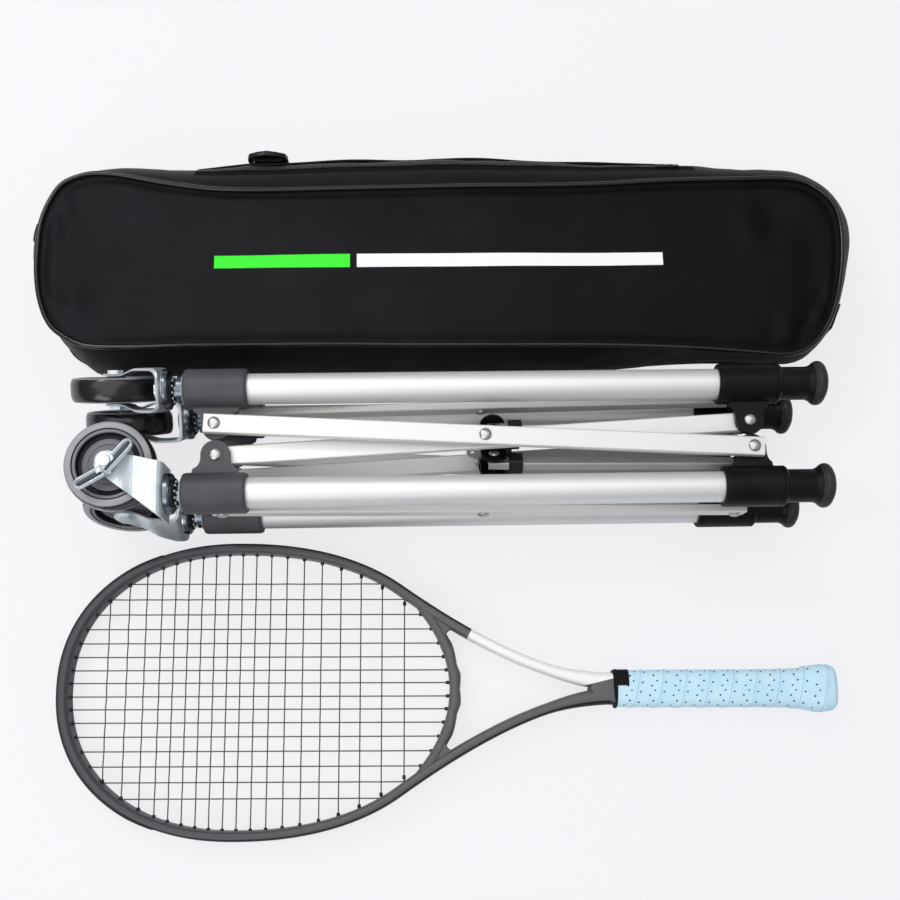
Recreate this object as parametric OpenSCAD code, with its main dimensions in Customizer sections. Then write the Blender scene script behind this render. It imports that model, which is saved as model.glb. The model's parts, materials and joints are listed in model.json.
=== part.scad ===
// Folding ball-cart set: a four-leg scissor cart lying folded on its side,
// its zipped carry bag and a racket, laid out side by side on one floor.
// X runs along the legs, Y across the set, Z up from the floor.
// Legs are called by place: a = upper far, b = upper near, c = lower far, d = lower near.

/* [Cart legs] */
// Distance between neighbouring leg axes when the cart is folded
leg_gap = 88; // [86:0.5:96]
// Outside diameter of the leg tubes
tube_d = 25.4; // [22:0.2:26]
// Wall of the leg tubes
tube_wall = 1.5; // [1:0.1:2.5]
// Length from the castor bracket's end face to the cap's end face
leg_l = 534; // [520:0.1:600]
// Height of the lower leg axes above the floor
leg_rise = 26; // [26:0.5:32]
// Outside diameter of the bracket and slider sleeves
sleeve_d = 33.8; // [32:0.2:35]
// Length of a bracket or slider sleeve
sleeve_l = 52; // [46:1:60]
// Diameter of the flange that holds a corner of the ball bag
flange_d = 37; // [34:0.5:40]

/* [Scissors] */
// Distance between the end pivots of a scissor bar
bar_l = 442.4; // [430:0.1:470]
// Distance from a leg axis to the pivot in its ear
ear_reach = 31.8; // [28:0.1:34]
// Width of a scissor bar
bar_w = 16; // [12:0.5:18]
// Thickness of a scissor bar
bar_t = 7.2; // [5:0.1:8]
// Wall of the scissor bars and arms
bar_wall = 1.4; // [1:0.1:2]
// Distance between the end pivots of a hub arm
arm_l = 212; // [190:0.5:220]

/* [Castors] */
// Wheel diameter
wheel_d = 74; // [70:1:76]
// Wheel width
wheel_w = 21; // [18:0.5:22]
// Distance from the swivel axis to the axle
trail = 23.5; // [20:0.5:25]
// Distance from the bracket's end face to the axle, along the leg
axle_drop = 63; // [60:1:70]
// Swivel angles of castors a, b, c and d, from +Y towards +Z
swivels = [-70, 0, 110, 75]; // [-180:5:180]
// How much closer castor b, with the brake, sits to its bracket
seat_b = 4; // [0:0.5:4]

/* [Racket] */
// Overall length
racket_l = 685.8; // [680:0.1:700]
// Half width across the middle of the frame beam
head_b = 125.9; // [115:0.1:130]
// Depth of the frame beam
beam_h = 22; // [18:0.5:26]
// Width of the frame beam at the sides of the head
beam_w = 8.4; // [8:0.1:10]
// String diameter
string_d = 1.3; // [1.1:0.05:1.4]

/* [Bag] */
// Length of the bag
bag_l = 757; // [700:1:800]
// Height of the bag from its near edge to its far edge, lying down
bag_w = 207.5; // [180:0.5:240]
// Thickness of the bag, lying down
bag_t = 84; // [60:1:100]

/* [Places] */
// Castor bracket faces along X
cart_x = -219.9; // [-260:0.1:-180]
// Middle of the folded cart along Y
cart_y = 16.2; // [0:0.1:40]
// Tip of the racket along X
racket_x = -347.9; // [-380:0.1:-300]
// Racket axis along Y at its tip
racket_y = -180.7; // [-220:0.1:-160]
// How far the racket is turned off the cart's line
racket_turn = -0.86; // [-3:0.01:3]
// Near left corner of the bag
bag_corner = [-378.5, 98.3]; // [-450:0.1:150]

/* [Hidden] */
$fn = 48;

// Each leg's side of the square: [Y side, Z side]
LEG_A = [1, 1];
LEG_B = [-1, 1];
LEG_C = [1, -1];
LEG_D = [-1, -1];
half = leg_gap / 2;
cart_z = leg_rise + half;

// Scissor layers, measured outwards from the plane of the two leg axes
ear_t = 4.4;
ear_in = -0.6;
gap = 0.4;
ear_out = ear_in + ear_t;
outer_mid = ear_out + gap + bar_t / 2;
inner_mid = ear_in - gap - bar_t / 2;

// Folded scissor
pivot_gap = leg_gap - 2 * ear_reach;
fold_angle = asin(pivot_gap / bar_l);
pivot_x = sleeve_l / 2;
slide_x = pivot_x + bar_l * cos(fold_angle);
pin_r = 3;
hole_r = 3.06;
ear_r = 12;
bar_over = 8.6;

// Hub arms, in the diagonal planes
leg_diagonal = half * sqrt(2);
arm_reach = 36.8;
arm_end_r = leg_diagonal - arm_reach;
hub_r = 20;
arm_angle = asin((arm_end_r - hub_r) / arm_l);
hub_x = slide_x - arm_l * cos(arm_angle);
arm_t = 7.2;
arm_w = 12;

// ---------- placing ----------
module on_cart() translate([cart_x, cart_y, cart_z]) children();
module at_leg(leg) on_cart() translate([0, leg[0] * half, leg[1] * half]) children();
// A cart face: its scissor lies in X-Y, and Z points out of the cart
module on_face(turn) on_cart() rotate([turn, 0, 0]) translate([0, 0, half]) children();
FACE_AB = 0;
FACE_AC = -90;
FACE_CD = 180;
FACE_BD = 90;
// A leg's ear on the face it shares with its neighbour in Y or in Z:
// X-Y holds the ear, +Y points to the neighbour and +Z out of the cart
module ear_frame_y(leg) mirror([0, leg[0] > 0 ? 1 : 0, 0]) mirror([0, 0, leg[1] > 0 ? 0 : 1]) children();
module ear_frame_z(leg) ear_frame_y(leg) mirror([0, 1, -1]) mirror([0, 0, 1]) mirror([0, 1, 0]) children();
// The diagonal plane of a leg: +Y points to the cart's middle
module diagonal_frame(leg) ear_frame_y(leg) rotate([-45, 0, 0]) children();

// ---------- small parts ----------
module rod(r, x0, x1) translate([x0, 0, 0]) rotate([0, 90, 0]) cylinder(r = r, h = x1 - x0);
module ring(r_out, r_in, x0, x1) {
    difference() {
        rod(r_out, x0, x1);
        rod(r_in, x0 - 1, x1 + 1);
    }
}
module hex(flats, x0, x1) {
    translate([x0, 0, 0]) rotate([0, 90, 0]) cylinder(d = flats / cos(30), h = x1 - x0, $fn = 6);
}
// A rivet along Z, from its flat tail at z0 to its domed head at z1
module rivet(z0, z1) {
    head_r = 5.2;
    translate([0, 0, z0 - 1.6]) cylinder(r1 = head_r - 1, r2 = head_r - 0.4, h = 1.4);
    translate([0, 0, z0 - 0.3]) cylinder(r = pin_r, h = z1 - z0 + 0.6);
    translate([0, 0, z1 + 0.2]) rotate_extrude() polygon(concat([[0, 0], [head_r, 0]],
        [for (a = [15:15:90]) [head_r * cos(a), 2.6 * sin(a)]]));
}

// A flush rivet along Z between plates at z = -half_t and half_t
module flat_rivet(half_t) {
    translate([0, 0, -half_t - 0.3]) cylinder(r = pin_r, h = 2 * half_t + 0.6);
    for (side = [0, 1]) mirror([0, 0, side])
        translate([0, 0, half_t + 0.2]) cylinder(r1 = 4.6, r2 = 3.8, h = 1);
}

// ---------- legs ----------
module leg_tube(leg) {
    color("gainsboro") at_leg(leg) ring(tube_d / 2, tube_d / 2 - tube_wall, 4.2, leg_l - 16);
}

// An ear with its flared root on the sleeve and a round end about the pivot
module ear(x_mid, root) {
    translate([x_mid, 0, ear_in]) linear_extrude(ear_t) difference() {
        union() {
            translate([0, ear_reach]) circle(r = ear_r);
            polygon(concat(
                [[root, 8], [root, sleeve_d / 2 - 2]],
                [for (a = [10:20:90]) [ear_r + (root - ear_r) * (1 - sin(a)),
                    ear_reach - 3 - 9 * cos(a)]],
                [[ear_r, ear_reach], [-ear_r, ear_reach]],
                [for (a = [90:-20:10]) [-ear_r - (root - ear_r) * (1 - sin(a)),
                    ear_reach - 3 - 9 * cos(a)]],
                [[-root, sleeve_d / 2 - 2], [-root, 8]]));
        }
        translate([0, ear_reach]) circle(r = hole_r);
    }
}

// Moulded castor bracket: a closed sleeve with two ears
module bracket(leg) {
    color([0.2, 0.2, 0.21]) at_leg(leg) difference() {
        union() {
            rotate([0, 90, 0]) rotate_extrude() polygon([[0, 0], [sleeve_d / 2 - 2.4, 0],
                [sleeve_d / 2 - 0.7, 0.8], [sleeve_d / 2, 2.8], [sleeve_d / 2, sleeve_l - 2],
                [sleeve_d / 2 - 1, sleeve_l], [0, sleeve_l]]);
            ear_frame_y(leg) ear(pivot_x, 19.5);
            ear_frame_z(leg) ear(pivot_x, 19.5);
        }
        rod(tube_d / 2 + 0.02, 4, sleeve_l + 1);
        rod(6.02, -1, 5);
    }
}

function seat(leg) = leg == LEG_B ? seat_b : 0;
// Stem, nut, collar and upper race of a castor, with the bracket's two rivets
module leg_fasteners(leg, tall_y, tall_z) {
    color("silver") at_leg(leg) {
        union() {
            translate([seat(leg), 0, 0]) {
                rod(5.5, -24.2, 8);
                rod(8, -24.2, -21.2);
                rotate([0, -90, 0]) rotate_extrude() polygon([[5, 10.6], [13, 10.6], [16.4, 12.4],
                    [17, 14], [17, 17.2], [15.6, 17.2], [15.6, 14.4], [12, 12.6], [5, 12.6]]);
                hex(14, -10.6, -5.6);
            }
            rod(11.4, -5.6 + seat(leg), -0.05);
            hex(17, 4.2, 10);
        }
        ear_frame_y(leg) translate([pivot_x, ear_reach, 0]) bar_rivet(tall_y);
        ear_frame_z(leg) translate([pivot_x, ear_reach, 0]) bar_rivet(tall_z);
    }
}

// A rivet through an ear and the outer or the inner bar
module bar_rivet(outer) {
    if (outer) rivet(ear_in, outer_mid + bar_t / 2);
    else rivet(inner_mid - bar_t / 2, ear_out);
}

// Flanged end cap over the tube: the slider stops against its skirt
module cap(leg) {
    skirt_x = slide_x + sleeve_l / 2 + 1;
    skirt_r = tube_d / 2 + 1.1;
    flange_r = flange_d / 2;
    color([0.1, 0.1, 0.1]) at_leg(leg) rotate([0, 90, 0]) rotate_extrude() polygon(concat(
        [[0, leg_l - 15.8], [tube_d / 2 + 0.02, leg_l - 15.8], [tube_d / 2 + 0.02, skirt_x],
            [skirt_r, skirt_x], [skirt_r, leg_l - 17], [skirt_r + 1.2, leg_l - 13.6]],
        [for (a = [-60:20:80]) [flange_r - 4 + 4 * cos(a), leg_l - 7.6 + 4.6 * sin(a)]],
        [[flange_r - 5, leg_l - 1.8], [flange_r - 9, leg_l - 0.4], [0, leg_l]]));
}

// ---------- sliders ----------
// Moulded slider: an open sleeve with two ears and a fork for the hub arm
module slider(leg) {
    fork_t = 2.6;
    fork_gap = arm_t + 0.7;
    color([0.1, 0.1, 0.1]) at_leg(leg) difference() {
        union() {
            translate([slide_x - sleeve_l / 2, 0, 0]) rotate([0, 90, 0]) rotate_extrude() polygon([[0, 0],
                [sleeve_d / 2 - 1.8, 0], [sleeve_d / 2 - 0.3, 1], [sleeve_d / 2, 3],
                [sleeve_d / 2, sleeve_l - 5.4], [sleeve_d / 2 - 0.6, sleeve_l - 5],
                [sleeve_d / 2 - 0.6, sleeve_l - 4.4], [sleeve_d / 2, sleeve_l - 4],
                [sleeve_d / 2, sleeve_l - 1.4], [sleeve_d / 2 - 1.2, sleeve_l], [0, sleeve_l]]);
            ear_frame_y(leg) ear(slide_x, 17);
            ear_frame_z(leg) ear(slide_x, 17);
            diagonal_frame(leg) for (side = [-1, 1]) {
                translate([slide_x, 0, side * (fork_gap + fork_t) / 2 - fork_t / 2])
                    linear_extrude(fork_t) {
                        translate([0, arm_reach]) circle(r = 7.6);
                        polygon([[-15, 12], [15, 12], [7.6, arm_reach], [-7.6, arm_reach]]);
                    }
            }
        }
        rod(tube_d / 2 + 0.35, 0, leg_l);
        diagonal_frame(leg) translate([slide_x, arm_reach, -20]) cylinder(r = hole_r, h = 40);
    }
}

module slider_rivets(leg, tall_y, tall_z) {
    arm_rivet_h = arm_t / 2 + 0.35 + 2.6;
    color("silver") at_leg(leg) {
        ear_frame_y(leg) translate([slide_x, ear_reach, 0]) bar_rivet(tall_y);
        ear_frame_z(leg) translate([slide_x, ear_reach, 0]) bar_rivet(tall_z);
        diagonal_frame(leg) translate([slide_x, arm_reach, 0]) rivet(-arm_rivet_h, arm_rivet_h);
    }
}

// ---------- scissor bars ----------
// Runs a flat outline along X, its own X across Y
module along_x(x0, x1) translate([x0, 0, 0]) rotate([90, 0, 90]) linear_extrude(x1 - x0) children();
module rounded(width, thick, r) {
    square([width - 2 * r, thick], center = true);
    square([width, thick - 2 * r], center = true);
    for (y = [-1, 1], z = [-1, 1]) translate([y * (width / 2 - r), z * (thick / 2 - r)]) circle(r = r);
}
// A square-cut hollow bar along X, with a pivot hole at each given place
module bar(length, width, thick, holes) {
    difference() {
        along_x(0, length) difference() {
            rounded(width, thick, 1.5);
            square([width - 2 * bar_wall, thick - 2 * bar_wall], center = true);
        }
        for (x = holes) translate([x, 0, -thick]) cylinder(r = hole_r, h = 2 * thick);
    }
}

// side is +1 where the outer bar starts on the face's +Y leg
module scissor_bar(turn, side, outer) {
    lean = outer ? -side : side;
    color(outer ? "whitesmoke" : "lightgray") on_face(turn)
        translate([(pivot_x + slide_x) / 2, 0, outer ? outer_mid : inner_mid])
            rotate([0, 0, lean * fold_angle]) translate([-bar_l / 2 - bar_over, 0, 0])
                bar(bar_l + 2 * bar_over, bar_w, bar_t, [bar_over, bar_over + bar_l / 2, bar_over + bar_l]);
}

// Middle rivet of a scissor, with the spacer between its bars
module middle_rivet(turn) {
    spacer_z0 = inner_mid + bar_t / 2 + 0.05;
    spacer_z1 = outer_mid - bar_t / 2 - 0.05;
    color("silver") on_face(turn) translate([(pivot_x + slide_x) / 2, 0, 0]) {
        rivet(inner_mid - bar_t / 2, outer_mid + bar_t / 2);
        translate([0, 0, spacer_z0]) cylinder(r = 6.5, h = spacer_z1 - spacer_z0);
    }
}

// ---------- hub ----------
// Hub arm: a hollow bar with a moulded collar beside the hub
module arm(leg) {
    color("silver") at_leg(leg) diagonal_frame(leg) translate([slide_x, arm_reach, 0])
        rotate([0, 0, 180 - arm_angle]) {
            translate([-7, 0, 0]) bar(arm_l + 11.5, arm_w, arm_t, [7, 7 + arm_l]);
            translate([arm_l, 0, 0]) flat_rivet(arm_t / 2);
            along_x(arm_l - 24.5, arm_l - 13) difference() {
                rounded(arm_w + 3, arm_t + 6, 2);
                rounded(arm_w + 0.04, arm_t + 0.04, 1.5);
            }
        }
}

// Moulded hub: a core and four forks, one on each diagonal
slot_half = 7.4;
cheek_t = 2.6;
hub_core = 8.6;
module hub() {
    color([0.12, 0.12, 0.12]) on_cart() translate([hub_x, 0, 0]) difference() {
        union() {
            rod(hub_core + 2, -10, 12);
            for (turn = [45:90:315], side = [-1, 1]) rotate([turn, 0, 0])
                translate([0, 0, side * (slot_half + cheek_t / 2) - cheek_t / 2]) linear_extrude(cheek_t)
                    difference() {
                        union() {
                            translate([0, hub_r]) circle(r = 11);
                            translate([-10.5, 4]) square([21, hub_r - 4]);
                        }
                        translate([0, hub_r]) circle(r = hole_r);
                    }
        }
        rod(3.3, -20, 30);
        for (turn = [45:90:315]) rotate([turn, 0, 0])
            translate([-30, hub_core, -slot_half]) cube([60, 40, 2 * slot_half]);
    }
}

// Through bolt of the hub with its domed nut, and a pivot stud in each cheek
module hub_bolt() {
    color("silver") on_cart() translate([hub_x, 0, 0]) {
        rod(3.2, -14, 13);
        hex(11, 12.1, 16.5);
        hex(12, -16, -10.1);
        translate([-16, 0, 0]) rotate([0, -90, 0]) rotate_extrude() polygon(concat([[0, -0.5], [5.6, -0.5]],
            [for (a = [0:15:90]) [5.6 * cos(a), 6.4 * sin(a)]]));
        for (turn = [45:90:315], side = [0, 1]) rotate([turn, 0, 0]) mirror([0, 0, side])
            translate([0, hub_r, slot_half]) {
                translate([0, 0, 0.1]) cylinder(r = pin_r, h = cheek_t);
                translate([0, 0, cheek_t + 0.05]) cylinder(r1 = 4.6, r2 = 3.4, h = 1.5);
            }
    }
}

// ---------- castors ----------
// Swivel frame: the wheel trails along +Y, and the axle lies along Z
module at_castor(i) {
    legs = [LEG_A, LEG_B, LEG_C, LEG_D];
    at_leg(legs[i]) translate([seat(legs[i]), 0, 0]) rotate([swivels[i], 0, 0]) children();
}

// Half width of the pressed fork at a drop along X: full at the crown, drawn in at the axle
function fork_half(x, crown, end) = x < 6 ? sqrt(max(0, 1 - pow(1 - x / 6, 2))) * 6 + crown - 6
    : x < 20 ? crown : x > 37 ? end : end + (crown - end) * (1 + cos(180 * (x - 20) / 17)) / 2;
function fork_edge(crown, end, from) = [for (x = [0.01, 0.7, 2, 4, 6, 13, 20, 23, 26, 29, 32, 35, 37, 60])
    [-from - x, fork_half(x, crown, end)]];

module fork_strip() {
    outside = fork_edge(18, 13.4, 17.6);
    inside = fork_edge(16, 11.4, 19.8);
    module closed(edge) polygon(concat(edge,
        [for (k = [len(edge) - 1:-1:0]) [edge[k][0], -edge[k][1]]]));
    difference() {
        closed(outside);
        closed(inside);
    }
}

// Pressed fork: one strip bent over the wheel, 46 wide at its crown and round about the axle
module fork(i) {
    crown_y = 23;
    corner_r = i == 1 ? 6 : 12;
    color("lightsteelblue") at_castor(i) {
        difference() {
            intersection() {
                translate([0, 40, 0]) rotate([90, 0, 0]) linear_extrude(80) fork_strip();
                translate([0, 0, -25]) linear_extrude(50) union() {
                    polygon([[-17, -crown_y], [-17, crown_y], [-26, crown_y + 1.5], [-axle_drop, trail + 10],
                        [-axle_drop - 6.5, trail - 7.6]]);
                    translate([-axle_drop, trail]) circle(r = 10);
                }
                // the crown's near corners are rounded
                along_x(-80, -10) mirror([1, -1, 0]) {
                    translate([-20, 0]) square([40, 50]);
                    translate([corner_r - 19, -crown_y]) square([38 - 2 * corner_r, 30]);
                    for (side = [-1, 1]) translate([side * (19 - corner_r), corner_r - crown_y])
                        circle(r = corner_r);
                    translate([-19, corner_r - crown_y]) square([38, 30]);
                }
            }
            rod(5.58, -30, -10);
        }
        translate([-axle_drop, trail, 0]) {
            translate([0, 0, -15]) cylinder(r = 4, h = 30);
            for (side = [0, 1]) mirror([0, 0, side]) translate([0, 0, 13.2]) cylinder(r = 6.6, h = 3, $fn = 6);
        }
    }
}

// Wheel with a rounded tread, stepped side walls and a hub boss
module wheel(i) {
    r = wheel_d / 2;
    w = wheel_w / 2;
    edge = concat([[4.07, 0], [4.07, 11], [7.5, 11], [8.5, w - 2], [15, w - 3], [21.5, w - 3.6],
        [23.5, w - 1.2], [25.5, w - 0.2], [31.5, w - 0.3]],
        [for (a = [80:-20:0]) [r - 5 + 5 * cos(a), w - 7.6 + 7 * sin(a)]], [[r, 0]]);
    color([0.16, 0.16, 0.17]) at_castor(i) translate([-axle_drop, trail, 0]) rotate_extrude($fn = 96)
        polygon(concat(edge, [for (k = [len(edge) - 2:-1:1]) [edge[k][0], -edge[k][1]]]));
}

// Rocker pedal of the brake, over the axle bolt of castor b: a plate with two leaves, bent up and down
pedal_z = 18.3;
module pedal_leaf(turn, length, tilt) {
    leaf_r = 4.6;
    rotate([0, 0, turn]) translate([0, leaf_r, 1]) rotate([tilt, 0, 0]) translate([0, -leaf_r, -1])
        linear_extrude(2) {
            translate([0, -leaf_r]) square([length - leaf_r, 2 * leaf_r]);
            translate([length - leaf_r, 0]) circle(r = leaf_r);
        }
}
module brake_pedal() {
    color("lightsteelblue") at_castor(1) translate([-axle_drop, trail, pedal_z]) {
        difference() {
            union() {
                cylinder(r = 8, h = 2);
                translate([-6, -11, 0]) cube([11, 9, 2]);
            }
            translate([0, 0, -1]) cylinder(r = 3.2, h = 4);
        }
        translate([0, -9, 0]) {
            pedal_leaf(49, 33, -28);
            mirror([1, 0, 0]) pedal_leaf(-30, 25, -28);
        }
        difference() {
            translate([0, 0, -2]) cylinder(r = 3, h = 5.4);
            translate([0, 0, -3]) cylinder(r = 1, h = 8);
        }
    }
}

// ---------- racket ----------
head_x = 158;
head_tip = 151.8;
head_throat = 189.5;
lie_angle = 0.62;
module on_racket() translate([racket_x, racket_y, beam_h / 2 + 0.1]) rotate([0, 0, racket_turn])
    rotate([0, -lie_angle, 0]) children();

// Middle line of the head, an egg of two half ellipses, by its angle from the throat
function head_a(angle) = cos(angle) < 0 ? head_tip : head_throat;
function head_point(angle) = [head_x + head_a(angle) * cos(angle), head_b * sin(angle)];
function head_y(x) = head_b * sqrt(max(0, 1 - pow((x - head_x) / (x < head_x ? head_tip : head_throat), 2)));
function head_half_x(y) = sqrt(max(0, 1 - pow(y / head_b, 2)));

// The throat beam leaves the head along its tangent and straightens into the shaft
leave = 54;
leave_at = head_point(leave);
leave_slope = -pow(head_b / head_throat, 2) * (leave_at[0] - head_x) / leave_at[1];
shaft_y = 7.1;
curve = [leave_at, leave_at + 82.7 * [1, leave_slope], [403, shaft_y], [500, shaft_y]];
function bezier(t) = pow(1 - t, 3) * curve[0] + 3 * t * pow(1 - t, 2) * curve[1]
    + 3 * t * t * (1 - t) * curve[2] + pow(t, 3) * curve[3];
half_path = concat([for (t = [1:-0.08:0.04]) bezier(t)], [for (a = [leave + 5:6:178]) head_point(a)]);
function flip(path) = [for (k = [len(path) - 1:-1:0]) [path[k][0], -path[k][1]]];
frame_path = concat(half_path, [head_point(180)], flip(half_path));

// Beam section: an oval box, rounded on its faces
section = [for (a = [0:30:330]) [sign(cos(a)) * pow(abs(cos(a)), 0.7), sign(sin(a)) * pow(abs(sin(a)), 0.6)]];
function unit(v) = v / norm(v);
// Half width of the beam: fuller round the tip, through the throat and where both beams meet in the shaft
function ramp(x, x0, x1) = let (t = min(1, max(0, (x - x0) / (x1 - x0)))) t * t * (3 - 2 * t);
function beam_half(x) = beam_w / 2 + 0.3 * ramp(-x, -90, 0) + 0.8 * ramp(x, 290, 350) + 2.1 * ramp(x, 425, 475);
function sweep_points(path, wide, high) = [for (k = [0:len(path) - 1])
    let (dir = unit(path[min(k + 1, len(path) - 1)] - path[max(k - 1, 0)]), side = [-dir[1], dir[0]])
    for (s = section) concat(path[k] + side * s[0] * wide(path[k]), high * s[1])];
function sweep_faces(rings, n) = concat(
    [for (r = [0:rings - 2], k = [0:n - 1]) each [
        [r * n + k, (r + 1) * n + k, r * n + (k + 1) % n],
        [r * n + (k + 1) % n, (r + 1) * n + k, (r + 1) * n + (k + 1) % n]]],
    [[for (k = [0:n - 1]) k], [for (k = [n - 1:-1:0]) (rings - 1) * n + k]]);
module sweep(path, wide, high) {
    polyhedron(sweep_points(path, wide, high), sweep_faces(len(path), len(section)), convexity = 8);
}

module racket_frame() color([0.25, 0.25, 0.26]) on_racket() {
    sweep(frame_path, function(point) beam_half(point[0]), beam_h / 2);
    // the two beams close on a flat wedge
    translate([0, 0, -8]) linear_extrude(16) polygon([[467.5, -2.6], [467.5, 2.6], [496, 7], [496, -7]]);
}

// Bridge of the throat, gently waved, with a web in each of its corners
module racket_bridge() color([0.25, 0.25, 0.26]) on_racket() {
    sweep([for (a = [-46:2:46]) head_point(a)], function(point) 4.7 + 0.6 * cos(12 * (abs(point[1]) - 10)),
        beam_h / 2 - 1.5);
    for (side = [0, 1]) mirror([0, side, 0]) translate([0, 0, -7]) linear_extrude(14) difference() {
        polygon([[316, 74], [329, 56], [337, 44], [347.5, 51.5], [344, 61]]);
        translate([344, 48.5]) circle(r = 3.8);
    }
}

// Strings: mains along X over crosses along Y
function main_y(k) = 5.9 + 11 * k + 0.233 * k * k;
function cross_gap(k) = 11.9 + (k < 3 ? 1.7 * (3 - k) : k > 8 ? 0.95 * (k - 8.5) : 0);
function cross_x(k) = k == 0 ? 41.4 : cross_x(k - 1) + cross_gap(k - 1);
module racket_strings() color("dimgray") on_racket() {
    layer = string_d / 2 + 0.05;
    for (k = [0:7], side = [-1, 1]) {
        reach = head_half_x(main_y(k));
        translate([0, side * main_y(k), layer])
            rod(string_d / 2, head_x - head_tip * reach, head_x + head_throat * reach, $fn = 16);
    }
    for (k = [0:18]) translate([cross_x(k), head_y(cross_x(k)), -layer]) rotate([90, 0, 0])
        cylinder(d = string_d, h = 2 * head_y(cross_x(k)), $fn = 16);
}

// Bumper guard: a strip round the tip of the head, proud of the beam
module racket_bumper() color([0.13, 0.13, 0.13]) on_racket() {
    arc = [for (a = [118:6:242]) head_point(a)];
    normals = [for (k = [0:len(arc) - 1]) let (d = unit(arc[min(k + 1, len(arc) - 1)] - arc[max(k - 1, 0)]))
        [d[1], -d[0]]];
    out = [for (k = [0:len(arc) - 1]) arc[k] - normals[k] * -(beam_half(arc[k][0]) + 0.9)];
    in = [for (k = [len(arc) - 1:-1:0]) arc[k] - normals[k] * -(beam_half(arc[k][0]) - 2.2)];
    translate([0, 0, -6]) linear_extrude(12) polygon(concat(out, in));
}

// Handle sections along X: [x, half width, half thickness]
grip_rings = [[489.5, 16, 13.4], [492, 16.7, 14], [533, 17.1, 14.6], [617, 17.1, 14.6], [637, 17.4, 14.8],
    [652, 18.1, 15.4], [663, 20.2, 17.2], [674, 21.7, 18.2], [racket_l - 4, 20.4, 17.4],
    [racket_l - 1.2, 18.4, 15.6], [racket_l, 15.6, 13]];
function ring_points(ring, n) = [for (k = [0:n - 1])
    let (a = 360 * (k + 0.5) / n, c = cos(a), s = sin(a), p = pow(pow(abs(c), 3.4) + pow(abs(s), 3.4), -1 / 3.4))
    [ring[0], ring[1] * c * p, ring[2] * s * p]];
module loft(rings, n) polyhedron([for (r = rings) each ring_points(r, n)], concat(
    [for (r = [0:len(rings) - 2], k = [0:n - 1]) each [
        [r * n + k, (r + 1) * n + k, r * n + (k + 1) % n],
        [r * n + (k + 1) % n, (r + 1) * n + k, (r + 1) * n + (k + 1) % n]]],
    [[for (k = [0:n - 1]) k], [for (k = [n - 1:-1:0]) (len(rings) - 1) * n + k]]));
module racket_grip() color("lightblue") on_racket() loft(grip_rings, 24);
module racket_collar() color([0.08, 0.08, 0.08]) on_racket()
    loft([[487.4, 14.8, 12.4], [488.2, 16, 13.4], [492, 17.4, 14.6], [493, 16.8, 14.1]], 24);

// ---------- bag ----------
// Bag outlines from the floor up: [z, inset left and right, inset near, inset far]
bag_rings = [[0, 16, 14, 16], [10, 5, 4, 5], [38, 0, 0, 0], [60, 8, 7, 24], [74, 17, 15, 42], [bag_t, 24, 24, 56]];
bag_corner_r = 52;
function bag_ring(ring, steps) = let (x0 = ring[1], x1 = bag_l - ring[1], y0 = ring[2], y1 = bag_w - ring[3],
    r = bag_corner_r) [for (corner = [[x1 - r, y1 - r, 0], [x0 + r, y1 - r, 90], [x0 + r, y0 + r, 180],
    [x1 - r, y0 + r, 270]], k = [0:steps]) let (a = corner[2] + 90 * k / steps)
    [corner[0] + r * cos(a), corner[1] + r * sin(a), ring[0]]];
module bag_shell() {
    steps = 8;
    n = 4 * (steps + 1);
    color([0.09, 0.09, 0.1]) translate([bag_corner[0], bag_corner[1], 0]) polyhedron(
        [for (r = bag_rings) each bag_ring(r, steps)], concat(
        [for (r = [0:len(bag_rings) - 2], k = [0:n - 1]) each [
            [r * n + k, (r + 1) * n + k, r * n + (k + 1) % n],
            [r * n + (k + 1) % n, (r + 1) * n + k, (r + 1) * n + (k + 1) % n]]],
        [[for (k = [0:n - 1]) k], [for (k = [n - 1:-1:0]) (len(bag_rings) - 1) * n + k]]));
}
// Strap along the far wall, on edge, and its slide buckle
strap_x = 150;
strap_z = [10, 41];
module bag_strap() color([0.06, 0.06, 0.06])
    translate([bag_corner[0] + strap_x, bag_corner[1] + bag_w - 1.5, strap_z[0]])
        cube([470, 3.5, strap_z[1] - strap_z[0]]);
module bag_buckle() color([0.05, 0.05, 0.05])
    translate([bag_corner[0] + strap_x + 47, bag_corner[1] + bag_w + 2.3, strap_z[0] - 4]) difference() {
        cube([38, 5, strap_z[1] - strap_z[0] + 8]);
        for (x = [5, 21]) translate([x, -1, 6]) cube([12, 7, strap_z[1] - strap_z[0] - 4]);
    }

leg_tube(LEG_A);  // leg_a_tube
leg_tube(LEG_B);  // leg_b_tube
leg_tube(LEG_C);  // leg_c_tube
leg_tube(LEG_D);  // leg_d_tube
bracket(LEG_A);  // bracket_a
bracket(LEG_B);  // bracket_b
bracket(LEG_C);  // bracket_c
bracket(LEG_D);  // bracket_d
leg_fasteners(LEG_A, true, true);  // leg_a_fasteners
leg_fasteners(LEG_B, false, true);  // leg_b_fasteners
leg_fasteners(LEG_C, true, false);  // leg_c_fasteners
leg_fasteners(LEG_D, false, false);  // leg_d_fasteners
cap(LEG_A);  // cap_a
cap(LEG_B);  // cap_b
cap(LEG_C);  // cap_c
cap(LEG_D);  // cap_d
slider(LEG_A);  // slider_a
slider(LEG_B);  // slider_b
slider(LEG_C);  // slider_c
slider(LEG_D);  // slider_d
slider_rivets(LEG_A, false, false);  // slider_a_rivets
slider_rivets(LEG_B, true, false);  // slider_b_rivets
slider_rivets(LEG_C, false, true);  // slider_c_rivets
slider_rivets(LEG_D, true, true);  // slider_d_rivets
scissor_bar(FACE_AB, 1, true);  // bar_ab_outer
scissor_bar(FACE_AB, 1, false);  // bar_ab_inner
scissor_bar(FACE_CD, -1, true);  // bar_cd_outer
scissor_bar(FACE_CD, -1, false);  // bar_cd_inner
scissor_bar(FACE_AC, -1, true);  // bar_ac_outer
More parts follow.
